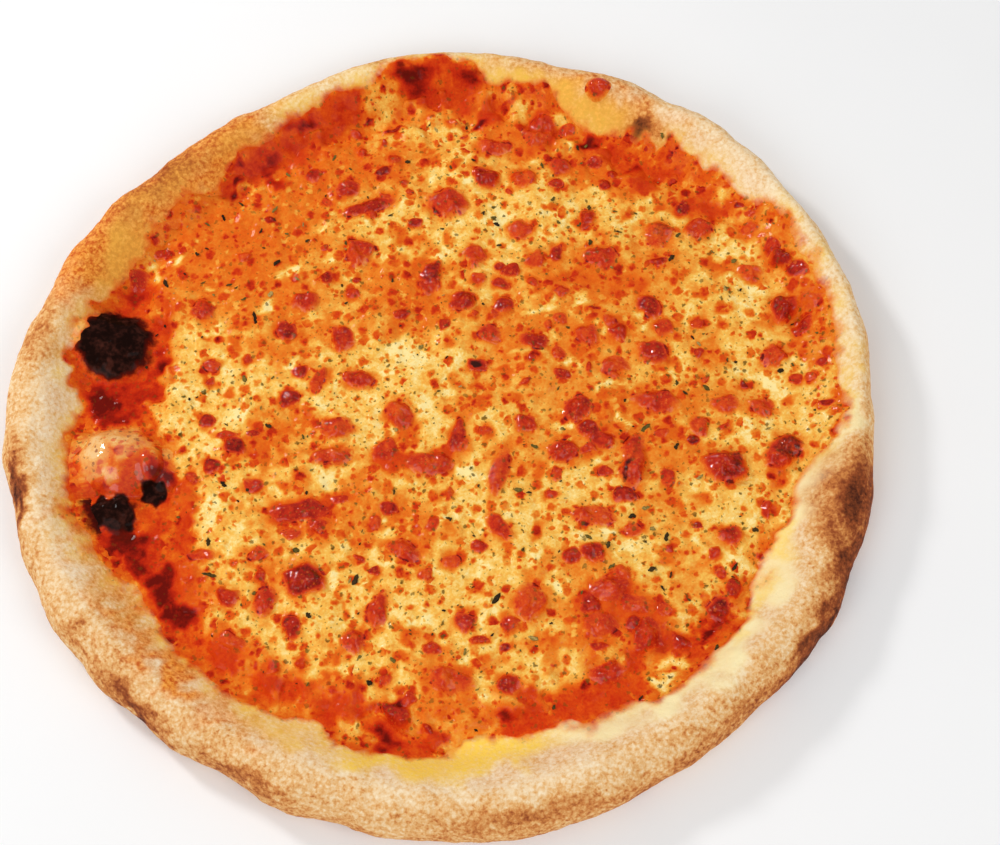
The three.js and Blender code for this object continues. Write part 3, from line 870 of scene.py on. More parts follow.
CRUMBS = patches(
    (24, 45, 8, 8), (36, 64, 9, 8), (139, 44, 9, 8), (10, -79, 9, 8), (14, 20, 10, 6), (96, -5, 10, 8, -60),
    (25, -101, 10, 8), (-51, -81, 11, 7, -60), (35, 30, 11, 8), (106, 4, 11, 8), (-58, 34, 10, 9),
    (46, 105, 10, 9), (67, 33, 10, 9), (18, 32, 10, 9), (-74, -70, 10, 9), (-29, -86, 10, 9),
    (32, -4, 10, 9), (105, -47, 10, 9), (-37, 95, 10, 9), (59, -10, 12, 8), (118, 58, 12, 8, -20),
    (-20, -14, 12, 8, 30), (17, -7, 6, 5), (8, -12, 7, 6), (44, 25, 6, 5), (34, 22, 6, 4, 10),
    (46, 16, 9, 4, -30), (32, 13, 4, 4), (56, 19, 6, 3, 70), (64, 16, 6, 5), (55, -6, 10, 7),
    (55, -14, 9, 5), (43, -24, 7, 5, 90), (60, -23, 6, 5), (83, -25, 9, 6, 100), (82, -8, 6, 4),
    (-56, 6, 8, 8), (-45, 13, 10, 6, 70), (-52, 17, 7, 6), (-72, 22, 5, 5), (-85, 19, 8, 6),
    (-86, 13, 5, 4), (-86, -3, 7, 6), (-83, -21, 7, 6), (-67, -28, 8, 6), (-75, -13, 9, 8), (-68, -8, 6, 3),
    (-78, -9, 10, 4), (-90, -25, 6, 5), (-11, 80, 6, 6), (-27, 83, 6, 5), (-5, 53, 9, 8), (14, 56, 7, 6),
    (23, 54, 10, 5, -20), (26, 59, 8, 6), (13, 41, 4, 4), (21, 41, 5, 4), (-15, 41, 8, 6, -20),
    (1, 37, 6, 6), (22, 61, 4, 4), (44, 67, 8, 5, 80), (83, 63, 7, 6), (35, 54, 5, 5), (45, 39, 6, 6),
    (41, 36, 5, 4, 90), (64, 38, 8, 6), (58, 43, 5, 4), (46, 50, 8, 6), (84, 35, 10, 9), (-44, 56, 7, 6),
    (-67, 81, 5, 4), (-76, 65, 7, 5), (-45, 69, 4, 4), (-33, 56, 4, 4), (-34, 49, 6, 5), (-45, 89, 6, 4),
    (-18, -37, 6, 6), (-23, -42, 6, 6), (4, -32, 5, 5), (-2, -43, 9, 4, 80), (5, -57, 7, 6),
    (15, -51, 7, 5), (-5, -62, 6, 5), (-28, -56, 5, 4), (-22, -61, 5, 5), (15, -86, 7, 5), (-1, -89, 7, 5),
    (26, -80, 8, 6), (48, -55, 7, 7), (70, -45, 9, 7), (66, -61, 8, 6), (54, -73, 9, 8), (70, -73, 11, 7),
    (69, -80, 8, 6), (80, -75, 7, 6, 90), (86, -86, 9, 7), (68, -32, 10, 7), (41, -32, 6, 4),
    (83, -52, 5, 4), (-64, -54, 8, 6), (-63, -62, 6, 6), (-52, -46, 8, 5), (-43, -44, 8, 7),
    (-35, -34, 9, 4), (-84, -54, 10, 5), (-72, -86, 12, 7), (98, 14, 4, 4), (97, 24, 5, 4), (105, -5, 6, 5),
    (113, 11, 5, 4), (133, 14, 6, 5), (138, 13, 5, 4, 90), (141, 19, 6, 3), (142, 2, 7, 4), (93, -10, 6, 4),
    (126, 67, 8, 6, -60), (118, 77, 8, 7), (135, 57, 8, 6, -30), (137, 36, 9, 6, 70), (97, 37, 5, 5),
    (134, 34, 6, 5), (94, 87, 6, 6), (115, 85, 5, 3), (119, 82, 6, 3), (49, 122, 7, 6), (44, 97, 6, 5),
    (63, 97, 6, 5), (67, 102, 6, 5), (60, 107, 8, 6), (-19, 108, 7, 6), (-24, 103, 7, 6),
    (-20, 123, 9, 4, 30), (-24, 116, 5, 3, 90), (-22, 92, 6, 4), (8, 118, 4, 3), (26, 94, 4, 3),
    (3, 125, 5, 4), (-15, 98, 4, 4), (-14, 93, 4, 4), (-51, 101, 9, 8), (-35, 120, 6, 6), (-32, 112, 6, 6),
    (-107, 66, 7, 4), (-116, 55, 10, 8, 70), (-57, -95, 6, 6), (-47, -94, 6, 5), (-17, -100, 6, 6),
    (-10, -107, 6, 6), (-3, -117, 5, 5), (24, -88, 6, 4), (57, -88, 7, 5), (99, -54, 6, 6),
    (101, -61, 6, 5), (100, -74, 12, 9, 80), (119, -37, 7, 5, 90), (93, -43, 5, 4), (105, -67, 8, 7),
)


@dataclass
class Topping:
    """How richly what lies on the dough is coloured in plan: 0 cream, yellow, orange, red, 1 maroon.

    Attributes:
        form: the layers that the colours lie on.
        lumps: where the separate lumps of sobrasada lie.
        crumbs: where its crumbs lie.
        plain: the richness of bare cheese.
        bare: the richness of the sauce outside the cheese.
        fringe: the richness where oil soaks out past the sauce.
        halo: the richness round a lump of sobrasada.
        core: the richness in a lump's middle.
        edge: from where to where inside the sauce's edge the richness rises from the fringe's.
        soaked: where oil turned the cheese orange.
        orange: small orange spots.
        cream_and_painted_glints: pale spots and streaks, two of the streaks painted glints.
        sauced: where red sauce shows.
        dark: maroon spots in the sauce.
        skin_and_painted_highlight: where a bubble's tight skin is pale, with a painted highlight on its lit
            upper left.
    """

    form: BakedForm
    lumps: tuple[Patch, ...]
    crumbs: tuple[Patch, ...] = CRUMBS
    plain: float = 0.165
    bare: float = 0.6
    fringe: float = 0.22
    halo: float = 0.58
    core: float = 0.85
    edge: tuple[float, float] = (-5.0, 3.0)
    soaked: Layer = Layer(0.52, 0.6, 3.0, patches(
        (-83, 72, 84, 62, -25, 1), (-102, 68, 30, 54, 0, 1), (-55, 92, 54, 28, 25, 1),
        (-27, 104, 40, 26, 0, 0.9), (-59, 38, 28, 38, 0, 0.9), (-12, 48, 36, 34, 20, 1),
        (-20, 62, 30, 16, 0, 0.8), (-60, -7, 30, 22, 0, 1), (-66, -17, 18, 14, 0, 0.7),
        (58, 57, 48, 24, 0, 1), (84, 62, 30, 26, 0, 0.6), (45, 34, 66, 30, 0, 0.8),
        (44, 14, 40, 20, 0, 0.6), (60, -2, 44, 30, 0, 0.9), (84, 6, 60, 16, 0, 0.8),
        (84, -14, 26, 22, 0, 0.8), (80, -34, 22, 20, 0, 0.6), (100, 25, 12, 26, 0, 0.7),
        (13, 8, 22, 16, 0, 0.9), (26, -16, 20, 16, 0, 0.7), (-22, 132, 22, 16, 0, 0.7),
        (-20, 124, 36, 14, 0, 0.8), (-44, 108, 28, 20, 30, 1), (30, 116, 28, 24, 0, 0.9),
        (66, 104, 48, 22, -20, 1), (98, 88, 30, 14, -25, 0.9), (130, 76, 18, 20, -50, 1),
        (118, 80, 16, 14, 0, 0.8), (136, 42, 22, 34, 0, 1), (142, 20, 10, 16, 0, 0.6),
        (104, 60, 14, 8, -30, 0.7), (110, -70, 16, 12, 0, 0.9), (118, -55, 10, 16, 0, 0.7),
        (92, -58, 14, 24, 0, 0.6), (62, -80, 40, 26, 0, 1), (84, -96, 14, 14, 0, 0.9),
        (40, -88, 22, 10, 0, 0.8), (6, -106, 30, 22, 0, 0.9), (0, -92, 22, 12, 0, 0.6),
        (-34, -104, 34, 16, -10, 1), (-74, -88, 34, 16, -20, 1), (-86, -64, 18, 18, 0, 1),
        (-10, -44, 32, 22, -20, 0.9), (-40, -34, 50, 16, 5, 0.9), (-30, -48, 20, 18, 0, 0.8),
        (-96, -42, 14, 34, 0, 1), (-96, -16, 9, 12, 0, 0.5), (-60, -58, 18, 16, 0, 0.8),
        (-132, -34, 12, 36, 10, 1), (-124, -47, 24, 12, -40, 1), (-132, 4, 12, 20, 0, 0.9),
        (40, -62, 20, 18, 0, 0.6),
    ))
    orange: Layer = Layer(0.6, 0.5, 0.9, patches(
        (15, 4, 7, 7), (28, 7, 5, 5), (23, 17, 6, 5), (4, 28, 5, 5), (11, 11, 3, 3), (52, 26, 6, 3, 80),
        (62, -7, 6, 5), (36, -23, 9, 5, 80), (86, 21, 5, 5), (81, 19, 4, 4), (86, -6, 7, 6), (67, 4, 3, 3),
        (63, 7, 6, 4), (-79, 8, 6, 5), (-56, -29, 4, 3), (-75, -19, 5, 4), (-66, -15, 9, 8),
        (-78, 27, 6, 5), (-51, 23, 6, 4), (-50, 0, 5, 4), (-16, 74, 7, 6), (-10, 72, 5, 5),
        (3, 73, 6, 4, 80), (-19, 67, 5, 2, -15), (-7, 63, 8, 7), (-25, 53, 4, 4), (-27, 44, 8, 8),
        (43, 87, 6, 4, 20), (72, 84, 5, 5), (42, 77, 4, 3), (53, 57, 12, 10), (66, 52, 8, 6),
        (73, 54, 7, 6), (46, 58, 6, 5), (85, 87, 5, 5), (-58, 67, 8, 6, 90), (-55, 78, 8, 6),
        (-75, 34, 8, 6), (-88, 31, 4, 3), (-13, -62, 5, 3), (-10, -82, 7, 6), (14, -67, 6, 4),
        (25, -54, 3, 3), (17, -56, 4, 3), (18, -73, 3, 2), (36, -45, 8, 5, 80), (40, -85, 6, 4),
        (82, -57, 7, 5), (58, -86, 10, 6), (88, -34, 4, 4), (-74, -37, 3, 3), (-79, -39, 2, 2),
        (-33, -50, 6, 4, 90), (-34, -67, 4, 3), (-31, -75, 3, 3), (123, -25, 9, 7), (146, -1, 4, 3),
        (130, 5, 5, 4), (137, 24, 6, 5), (105, 62, 8, 5, -30), (108, 58, 5, 4), (98, 49, 6, 4),
        (107, 43, 6, 4), (106, 36, 4, 3), (91, 58, 5, 4), (53, 104, 8, 6), (-6, 127, 10, 5), (5, 107, 5, 5),
        (-6, 107, 8, 5), (-6, 113, 6, 5), (26, 134, 4, 4), (-115, 77, 6, 6), (-102, 68, 6, 5),
        (-36, -92, 6, 5), (-9, -84, 6, 6), (-13, -91, 6, 4), (-35, -99, 8, 6), (18, -94, 5, 4),
        (96, -33, 5, 4), (125, -49, 8, 5),
    ))
    cream_and_painted_glints: Layer = Layer(0.04, 0.6, 1.4, patches(
        (-8, 3, 14, 10), (4, 20, 9, 5, 90), (-12, 24, 16, 10), (-20, 17, 6, 4), (2, 10, 8, 3, 90),
        # The white streaks at (-19, -8) and (19, -22) are painted glints.
        (11, -22, 10, 5, 80), (-23, 4, 8, 6), (-19, -8, 6, 2, 80), (19, -22, 6, 2, 60), (35, 26, 6, 4),
        (48, 20, 6, 3), (62, 12, 5, 4), (68, 0, 6, 3), (45, -5, 6, 4, 45), (-77, 16, 7, 6), (-87, 8, 8, 6),
        (-73, -2, 14, 8), (-86, -14, 8, 6), (-56, 21, 6, 4), (-39, 11, 7, 3, 90), (-42, -23, 8, 5),
        (22, 83, 12, 10), (15, 61, 6, 4), (16, 48, 6, 5), (0, 66, 8, 4, 90), (-24, 66, 8, 6),
        (38, 42, 12, 4, 15), (61, 35, 5, 4), (41, 31, 5, 4), (52, 46, 8, 5, 90), (76, 38, 5, 4),
        (45, 82, 7, 6), (-42, 65, 6, 4), (-45, 76, 4, 3), (-38, 55, 5, 3, 90), (-66, 45, 6, 5),
        (-86, 55, 4, 4), (-43, 85, 6, 3), (-85, 36, 6, 5), (-57, 60, 8, 4, 30), (-18, -46, 8, 4),
        (-16, -57, 9, 5), (14, -40, 14, 3, 80), (15, -60, 8, 8), (-8, -78, 10, 6), (5, -39, 8, 4),
        (20, -78, 5, 4), (62, -47, 6, 4, -20), (50, -47, 6, 3), (67, -53, 6, 3), (84, -78, 9, 5),
        (33, -55, 10, 8), (43, -64, 8, 5, 90), (-83, -40, 10, 6, 90), (-75, -55, 6, 4, 30),
        (-45, -53, 8, 4), (-36, -62, 12, 4, 85), (-57, -77, 5, 4, 45), (-60, -32, 6, 4), (122, 13, 8, 5),
        (127, 8, 8, 6), (113, -11, 5, 4), (112, -5, 10, 5), (133, 22, 4, 3), (116, 67, 6, 5),
        (119, 50, 10, 5, 90), (112, 56, 10, 4), (115, 42, 6, 3), (132, 59, 4, 3), (37, 108, 6, 4),
        (50, 115, 5, 3, 90), (45, 136, 4, 4), (-26, 131, 13, 18, -15, 0.55), (-18, 120, 18, 9, 8, 0.5),
        (-8, 122, 6, 3), (0, 127, 4, 3), (-4, 101, 6, 3), (13, 111, 6, 3), (10, 100, 10, 3),
        (-75, 96, 4, 3), (-112, 58, 6, 5), (-101, 62, 4, 3), (-30, -95, 10, 5), (19, -106, 6, 4, 90),
        (11, -93, 6, 4, 90), (82, -95, 6, 6), (78, -102, 6, 5), (93, -75, 8, 5, 90), (94, -48, 6, 5),
        (108, -59, 8, 6), (113, -40, 5, 4),
    ))
    sauced: Layer = Layer(0.75, 0.6, 1.2, patches(
        (-123, 26, 36, 36, 0, 0.8), (-118, -20, 36, 28, 0, 0.75), (-112, -48, 22, 14, -30),
        (-120, -34, 30, 18, 0, 0.8), (-100, -30, 12, 16, 0, 0.8), (-40, 129, 18, 12, 30),
        (-46, 123, 20, 14, 40), (-58, 113, 20, 16, 40), (-69, 107, 18, 12, 40), (-75, 102, 16, 10, 35),
        (-82, 97, 12, 8, 35), (6, 135, 18, 16), (-4, 136, 14, 12), (-12, 138, 12, 10), (17, 128, 14, 15),
        (12, 142, 10, 9), (-13, 143, 15, 9), (38, 121, 14, 16), (58, 117, 13, 11), (66, 111, 12, 9, -40),
        (74, 105, 11, 10), (86, 103, 16, 9, -10), (79, 98, 9, 7), (104, 87, 17, 8, -15), (95, 87, 8, 8),
        (-115, 47, 18, 12, 30), (-106, 32, 30, 11, 85), (-106, 18, 12, 16), (-112, 14, 14, 9),
        (-125, 9, 20, 14), (-121, 2, 26, 13), (-102, -43, 7, 13), (-92, -44, 18, 8, 85),
        (-105, -54, 24, 12, -30), (-95, -62, 18, 13, -40), (-97, -66, 15, 15), (-91, -77, 14, 16, 100),
        (-84, -86, 13, 13, -50, 0.55), (-74, -92, 16, 8, -30), (-54, -102, 25, 11, -8),
        (-36, -110, 17, 8, -5), (-26, -107, 10, 9), (-14, -112, 9, 11), (-15, -122, 16, 12),
        (-17, -116, 9, 6), (-2, -122, 14, 5, 8), (33, -106, 11, 9), (30, -113, 25, 9, 5),
        (50, -108, 21, 11, 10), (60, -103, 11, 13), (67, -101, 12, 12), (64, -108, 11, 7, 20),
        (70, -92, 8, 9), (80, -86, 15, 8), (89, -88, 9, 7), (98, -82, 13, 10, 50),
        (62, -70, 22, 20, 0, 0.75), (74, -78, 16, 12, 0, 0.8), (-3, -19, 22, 10, 5), (-16, -19, 18, 9, -10),
        (-91, -31, 10, 12, 0, 0.8), (-12, -6, 8, 14, 0, 0.7), (-50, -40, 24, 8, 5, 0.8),
        (-48, -36, 30, 7, 5, 0.8),
    ))
    dark: Layer = Layer(1.05, 0.6, 1.5, patches(
        (-57, 121, 7, 7), (-65, 98, 8, 7, 0, 0.7), (-82, 105, 6, 6), (-80, 93, 6, 4),
        (-68, 104, 8, 4, 0, 0.7), (58, 117, 8, 6), (13, 124, 8, 5), (-13, 141, 16, 9, 0, 0.8),
        (11, 142, 10, 7, 0, 0.7), (0, 145, 24, 5, 0, 0.4), (-126, 5, 14, 9, 0, 0.9),
        (-105, 20, 10, 6, 90, 0.9), (-112, 8, 16, 8, 10, 0.6), (-117, 48, 9, 4, 0, 0.6), (-97, -66, 10, 13),
        (-92, -76, 10, 13), (-104, -64, 10, 9, 0, 0.9), (-113, -50, 20, 11), (-120, 0, 18, 7, 0, 0.7),
        (-108, -57, 7, 7, 0, 0.8), (-14, -110, 6, 6), (-16, -122, 11, 9, 0, 0.8), (24, -115, 6, 5, 0, 0.8),
        (95, -84, 6, 5), (99, -80, 7, 4, 0, 0.6), (-2, -21, 8, 4, 0, 0.7), (-44, -41, 4, 6, 0, 0.5),
        (74, 104, 5, 5, 0, 0.6), (-101, -23, 5, 14, 20, 0.9), (-133, -20, 5, 16, 0, 0.8),
    ))
    # A bubble's pale skin, with a painted highlight on its lit upper left.
    skin_and_painted_highlight: Layer = Layer(0.07, 0.7, 0.9, patches(
        (-125, -16, 13, 18, 10, 1), (-116, -11, 18, 8, -10, 0.95), (-122, -26, 14, 4, 10, 0.85),
        (-113, -18, 10, 6, 30, 0.7), (-107, -14, 8, 4, -40, 0.6),
    ))

    def rich(self, x: Array, y: Array) -> Array:
        """The richness in plan.

        Soaked, orange and cream patches, two of them painted glints, are painted over bare cheese and bare
        sauce in that order, then the halos of lumps and crumbs, then red and dark sauce and a bubble's pale
        skin with its painted highlight. At the sauce's edge the richness falls to that of oil.

        Args:
            x: places along X.
            y: places along Y.

        Returns:
            Values from 0 to 1.
        """
        rich = self.plain + (self.bare - self.plain) * smooth(-self.form.cheese_inset(x, y), -1, 7)
        for layer in (self.soaked, self.orange, self.cream_and_painted_glints):
            rich = layer.over(rich, x, y)
        around = Layer(self.halo, 0.5, 0.7, self.lumps + self.crumbs)
        for layer in (around, self.sauced, self.dark, self.skin_and_painted_highlight):
            rich = layer.over(rich, x, y)
        inset = self.form.sauce_inset(x, y) + 0.8 * Waves(6, 518).at(x, y)
        return np.minimum(rich, self.fringe + (1 - self.fringe) * smooth(inset, *self.edge))


# Sub-assemblies.


@dataclass
class Dough:
    """The base and its puffed rim, one closed surface from the middle over the rim to the underside.

    Attributes:
        form: the heights that it follows.
        topping: the colours along its wet edge.
        columns: grid lines round the pizza.
        slope_rows: grid lines from under the sauce up to the crest.
        upper_rows: grid lines from the crest out to the equator.
        lower_rows: grid lines from the equator down to the foot.
        middle_shares: radii of the grid lines under the sauce, as shares of the sauce's.
        first: where the slope's grid lines start, as a share of the sauce's radius.
        under_shares: radii of the grid lines of the underside, as shares of the foot's.
        sunk: how far the dough that the sauce hides lies lower.
        puffs: waves that make the rim uneven.
        lip: the height of the smooth lip along the sauce, where the rim is painted pale as painted light.
        lip_out: how far outside the sauce's edge the lip is highest.
        lip_width: how wide the lip is.
        brown: where the rim is brown to burnt.
        scorched: small burnt spots.
        tanned: where it is golden tan.
        oily: where oil soaked it yellow.
        lit_lip_places: where the lip rises, and where the rim is painted pale as painted light.
        floury: where it is floury.
    """

    form: BakedForm
    topping: Topping
    columns: int = 840
    slope_rows: int = 36
    upper_rows: int = 26
    lower_rows: int = 10
    middle_shares: tuple[float, ...] = (0.2, 0.4, 0.55, 0.62, 0.68, 0.74, 0.8)
    first: float = 0.86
    under_shares: tuple[float, ...] = (0.985, 0.96, 0.92, 0.86, 0.78, 0.68, 0.56, 0.42, 0.28, 0.12)
    sunk: float = 1.0
    puffs: Swells = ((0.5, 34, 11), (0.16, 12, 12), (0.07, 5, 13), (0.04, 2.6, 14))
    lip: float = 0.8
    lip_out: float = 3.5
    lip_width: float = 2.2
    brown: tuple[Patch, ...] = patches(
        (149, -37, 34, 26, 80, 0.85), (150, -62, 46, 18, 68, 0.8), (139, -86, 46, 15, 57, 0.85),
        (106, -118, 60, 9, 41, 0.35), (136, -22, 20, 14, 10, 0.35), (143, -30, 24, 18, 60, 0.6),
        (40, -149, 70, 9, 8, 0.4), (-106, -113, 30, 9, -44, 0.7), (-66, -138, 30, 7, -22, 0.45),
        (-124, -92, 20, 5, -52, 0.5), (-152, -33, 25, 12, 98, 1), (-115, 98, 60, 8, 38, 0.3),
        (-108, 96, 54, 14, 42, 0.6), (-146, 28, 12, 26, 0, 0.45), (-40, 146, 50, 6, 16, 0.25),
    )
    scorched: tuple[Patch, ...] = patches((78, 119, 9, 9, 0, 0.95), (79, 120, 16, 14, 20, 0.4))
    tanned: tuple[Patch, ...] = patches(
        (-126, 72, 60, 42, 62, 1), (-107, 94, 54, 42, 44, 1), (-90, 109, 44, 30, 38, 0.7),
        (52, 128, 60, 22, -20, 0.8), (-84, 104, 44, 26, 38, 1), (-119, 68, 38, 26, 70, 1),
        (-128, -44, 26, 9, -60, 0.7), (-104, -84, 50, 10, -48, 0.6), (-90, -100, 28, 10, -45, 0.8),
        (-70, -114, 40, 8, -25, 0.4),
    )
    oily: tuple[Patch, ...] = patches(
        (-122, 64, 44, 10, 75, 0.4), (-108, 90, 34, 9, 40, 0.25), (-82, 110, 40, 7, 38, 0.2),
        (20, -127, 44, 24, 3, 1), (-14, -130, 40, 22, -4, 1), (-44, -120, 40, 14, -16, 0.6),
        (122, -46, 22, 8, -75, 0.7), (112, -74, 30, 5, 57, 0.6), (50, 127, 50, 20, -18, 0.6),
        (28, 137, 40, 14, -6, 0.7), (-28, 137, 24, 7, 15, 0.6), (138, 0, 14, 10, 0, 0.5),
    )
    # Where the lip rises, and where a pale band of painted light lies along it.
    lit_lip_places: tuple[Patch, ...] = patches(
        (128, -44, 30, 60, 0, 1), (112, -84, 60, 40, 57, 1), (86, -112, 60, 40, 38, 1),
        (56, -126, 50, 34, 15, 0.9), (148, -8, 18, 22, 0, 0.7),
    )
    floury: tuple[Patch, ...] = patches(
        (124, 98, 80, 24, -52, 0.9), (150, 36, 60, 14, -80, 0.7), (-142, 10, 60, 16, 90, 0.6),
        (-138, -50, 50, 16, 110, 0.6), (20, -137, 80, 12, 5, 0.6), (-30, -130, 50, 12, -14, 0.5),
        (95, 122, 50, 14, -38, 0.6), (-24, 143, 60, 14, 9, 0.8),
    )

    def profile(self, angle: Array) -> Array:
        """The smooth surface: middle, slope, two quarter ellipses outside the crest, and underside.

        Args:
            angle: the grid's angles.

        Returns:
            Points by row, angle and axis.
        """
        form = self.form
        crust, crest, rim, sauce = (ring.at(angle) for ring in (form.crust, form.crest, form.rim, form.sauce))
        first = self.first * sauce
        slope = first + (crest - first) * np.linspace(0, 1, self.slope_rows)[:, None]
        top_radius = np.concatenate([np.array(self.middle_shares)[:, None] * sauce, slope])
        top_x, top_y = top_radius * np.cos(angle), top_radius * np.sin(angle)
        top_height = form.dough(top_x, top_y) - self.sunk * smooth(form.sauce_inset(top_x, top_y), 3, 8)
        bend = np.linspace(0, TURN / 4, self.upper_rows + 1)[1:, None]
        upper_radius = crest + (crust - crest) * np.sin(bend)
        upper_height = form.equator + (rim - form.equator) * np.cos(bend)
        bend = np.linspace(0, TURN / 4, self.lower_rows + 1)[1:, None]
        lower_radius = crust - form.foot * (1 - np.cos(bend))
        lower_height = form.equator * (1 - np.sin(bend)) * np.ones_like(crust)
        under_radius = np.array(self.under_shares)[:, None] * (crust - form.foot)
        radius = np.concatenate([top_radius, upper_radius, lower_radius, under_radius])
        height = np.concatenate([top_height, upper_height, lower_height, np.zeros_like(under_radius)])
        return np.stack([radius * np.cos(angle), radius * np.sin(angle), height], axis=-1)

    def puffed(self, points: Array) -> Array:
        """Moves the rim along its normals by puffs, blisters, wrinkles and a lip round part of the sauce."""
        form = self.form
        along = np.roll(points, -1, axis=1) - np.roll(points, 1, axis=1)
        outward = np.gradient(points, axis=0)
        normal = np.cross(outward, along)
        normal /= np.maximum(np.linalg.norm(normal, axis=-1, keepdims=True), 1e-9)
        x, y, z = np.moveaxis(points, -1, 0)
        radius, angle = np.hypot(x, y), np.arctan2(y, x)
        raised = smooth(z, 0.3, 5)
        free = smooth(radius - form.sauce.at(angle), 0, 9) * raised
        ridge = np.exp(-((form.sauce_inset(x, y) + self.lip_out) / self.lip_width) ** 2)
        lip = self.lip * ridge * painted(x, y, self.lit_lip_places, 0.6) * raised
        return points + normal * (swells(self.puffs, x, y, z) * free + lip)[..., None]

    def fields(self, points: Array) -> dict[str, Array]:
        """Where the crust is toasted, brown, tan, floury, oily, wet from the topping, or painted with light
        on its slope and lip.

        Patches are laid on the surface as if the wall were folded out, so that they don't end in upright
        stripes.

        Args:
            points: corners of the mesh.

        Returns:
            Values for each corner, by attribute name.
        """
        form = self.form
        x, y, z = points.T
        radius, angle = np.hypot(x, y), np.arctan2(y, x)
        past = radius - form.crest.at(angle)
        wall = smooth(past / 12) * smooth(-z, -16, -6)
        under = smooth(-z, -1.2, -0.2)
        top = 1 - under
        fold = 1 + 0.8 * np.clip(form.rim.at(angle) - z, 0, None) * smooth(past, 0, 4) / np.maximum(radius, 1)
        flat = (x * fold, y * fold)
        inset = form.sauce_inset(x, y)
        reach = np.maximum(4.8 + Waves(9, 21).at(x, y), 2.0)
        near = 1 - smooth(-inset + 1.5 * Waves(16, 24).at(x, y), 5, 12)
        soaked = 1 - smooth(-inset + 1.5 * Waves(16, 26).at(x, y), 7, 15)
        # Painted light: a pale band along the lip, as if brightly lit.
        glow = painted(x, y, self.lit_lip_places, 0.6, 1.0)
        floury = painted(*flat, self.floury, 0.7)
        stain = (0.6 + 0.22 * Waves(18, 25).at(x, y)) * (1 - smooth(-inset, 0, 11))
        tan = np.minimum(1.3 * painted(*flat, self.tanned, 0.9), 1)
        stain = stain * (1 - 0.8 * glow) * (1 - 0.6 * floury) * (1 - 0.8 * tan)
        # The inner slope of the rim, painted paler as painted light.
        slope = smooth(-inset, 0, 3) * smooth(-past, -4, 6)
        brown = painted(*flat, self.brown, 0.95, 2.0)
        return {
            "toast": np.clip(0.6 * wall + 0.5 * under + 0.12 * Waves(30, 22).at(x, y, z), 0, 1),
            "brown": np.maximum(brown, painted(x, y, self.scorched, 0.6, 0.8)) * top,
            "under": under,
            "tan": tan * top * (1 - 0.7 * wall),
            "glow": glow * near * top,
            "oil": np.maximum(painted(x, y, self.oily, 0.5, 1.0) * soaked, stain) * top,
            # Pale: flour, and painted light on the inner slope.
            "pale": np.clip(floury + 0.7 * slope * (1 - tan), 0, 1.2) * top,
            "wet": np.clip((inset + reach) / reach, 0, 1.3) * top,
            "rich": self.topping.rich(x, y),
        }

    def build(self) -> bpy.types.Object:
        """Makes the piece.

        Returns:
            The dough, riding on the part.
        """
        angle = np.arange(self.columns) * TURN / self.columns
        grid = self.puffed(self.profile(angle))
        points, faces = closed_lofts(grid[None], np.array([[0, 0, self.form.base]]), np.zeros((1, 3)))
        piece = make_piece("crust", points, faces, self.fields(points), CrustFinish().material())
        return put_on(piece, ("dough",))


@dataclass
class Sauce:
    """Tomato sauce on the dough, a closed skin whose edge dips into the dough.

    Attributes:
        form: the heights that it follows.
        topping: its colours.
        columns: grid lines round the pizza.
        rows: grid lines of the part that shows.
        first: where the finely spaced grid lines start, as a share of the sauce's radius.
        reach: where the grid ends, as a share of the sauce's radius.
        middle_shares: radii of the grid lines that the cheese hides, as shares of the sauce's radius.
        crown: how far its hidden middle lies over the dough.
        sunk: how far its hidden floor lies under the dough's surface.
        floor_step: how many of its top's grid lines go to one of its floor's.
        charred: where it is burnt black.
        glossy: where a bubble's skin is tight and shiny.
    """

    form: BakedForm
    topping: Topping
    columns: int = 840
    rows: int = 80
    first: float = 0.55
    reach: float = 1.07
    middle_shares: tuple[float, ...] = (0.15, 0.35, 0.48)
    crown: float = 1.0
    sunk: float = 0.6
    floor_step: int = 12
    charred: tuple[Patch, ...] = patches(
        (-122.5, 28, 26, 26, 0, 1), (-104, -30, 8, 11, 15, 1), (-116, -39, 15, 13, 0, 1),
        (-122, -37, 7, 9, 0, 1), (-113, -47, 12, 6, 0, 0.4), (-15, 143, 11, 6, 20, 0.28),
        (12, 144, 9, 4, 0, 0.25),
    )
    glossy: tuple[Patch, ...] = patches((-118, -19, 34, 26, -6, 1), (-104, -22, 12, 20, 15, 0.8))

    def build(self) -> bpy.types.Object:
        """Makes the piece.

        Returns:
            The sauce, riding on the part.
        """
        form = self.form
        angle = np.arange(self.columns) * TURN / self.columns
        shares = np.array([*self.middle_shares, *np.linspace(self.first, self.reach, self.rows)])[:, None]
        radius = np.minimum(shares * form.sauce.at(angle), form.crest.at(angle) - 0.5 + shares)
        x, y = radius * np.cos(angle), radius * np.sin(angle)
        upper = np.stack([x, y, form.sauce_top(x, y)], axis=-1)
        lower = np.stack([x, y, np.minimum(form.dough(x, y), upper[..., 2]) - self.sunk], axis=-1)
        grid = np.concatenate([upper, lower[::-self.floor_step]])
        ends = np.array([[[0, 0, form.base + self.crown]], [[0, 0, form.base - self.sunk]]])
        points, faces = closed_lofts(grid[None], *ends)
        x, y, _ = points.T
        fields = {
            "rich": self.topping.rich(x, y),
            "char": painted(x, y, self.charred, 0.3, 0.8),
            "gloss": painted(x, y, self.glossy, 0.2, 0.5),
        }
        piece = make_piece("sauce", points, faces, fields, SauceFinish().material())
        return put_on(piece, ("tomato_sauce",))


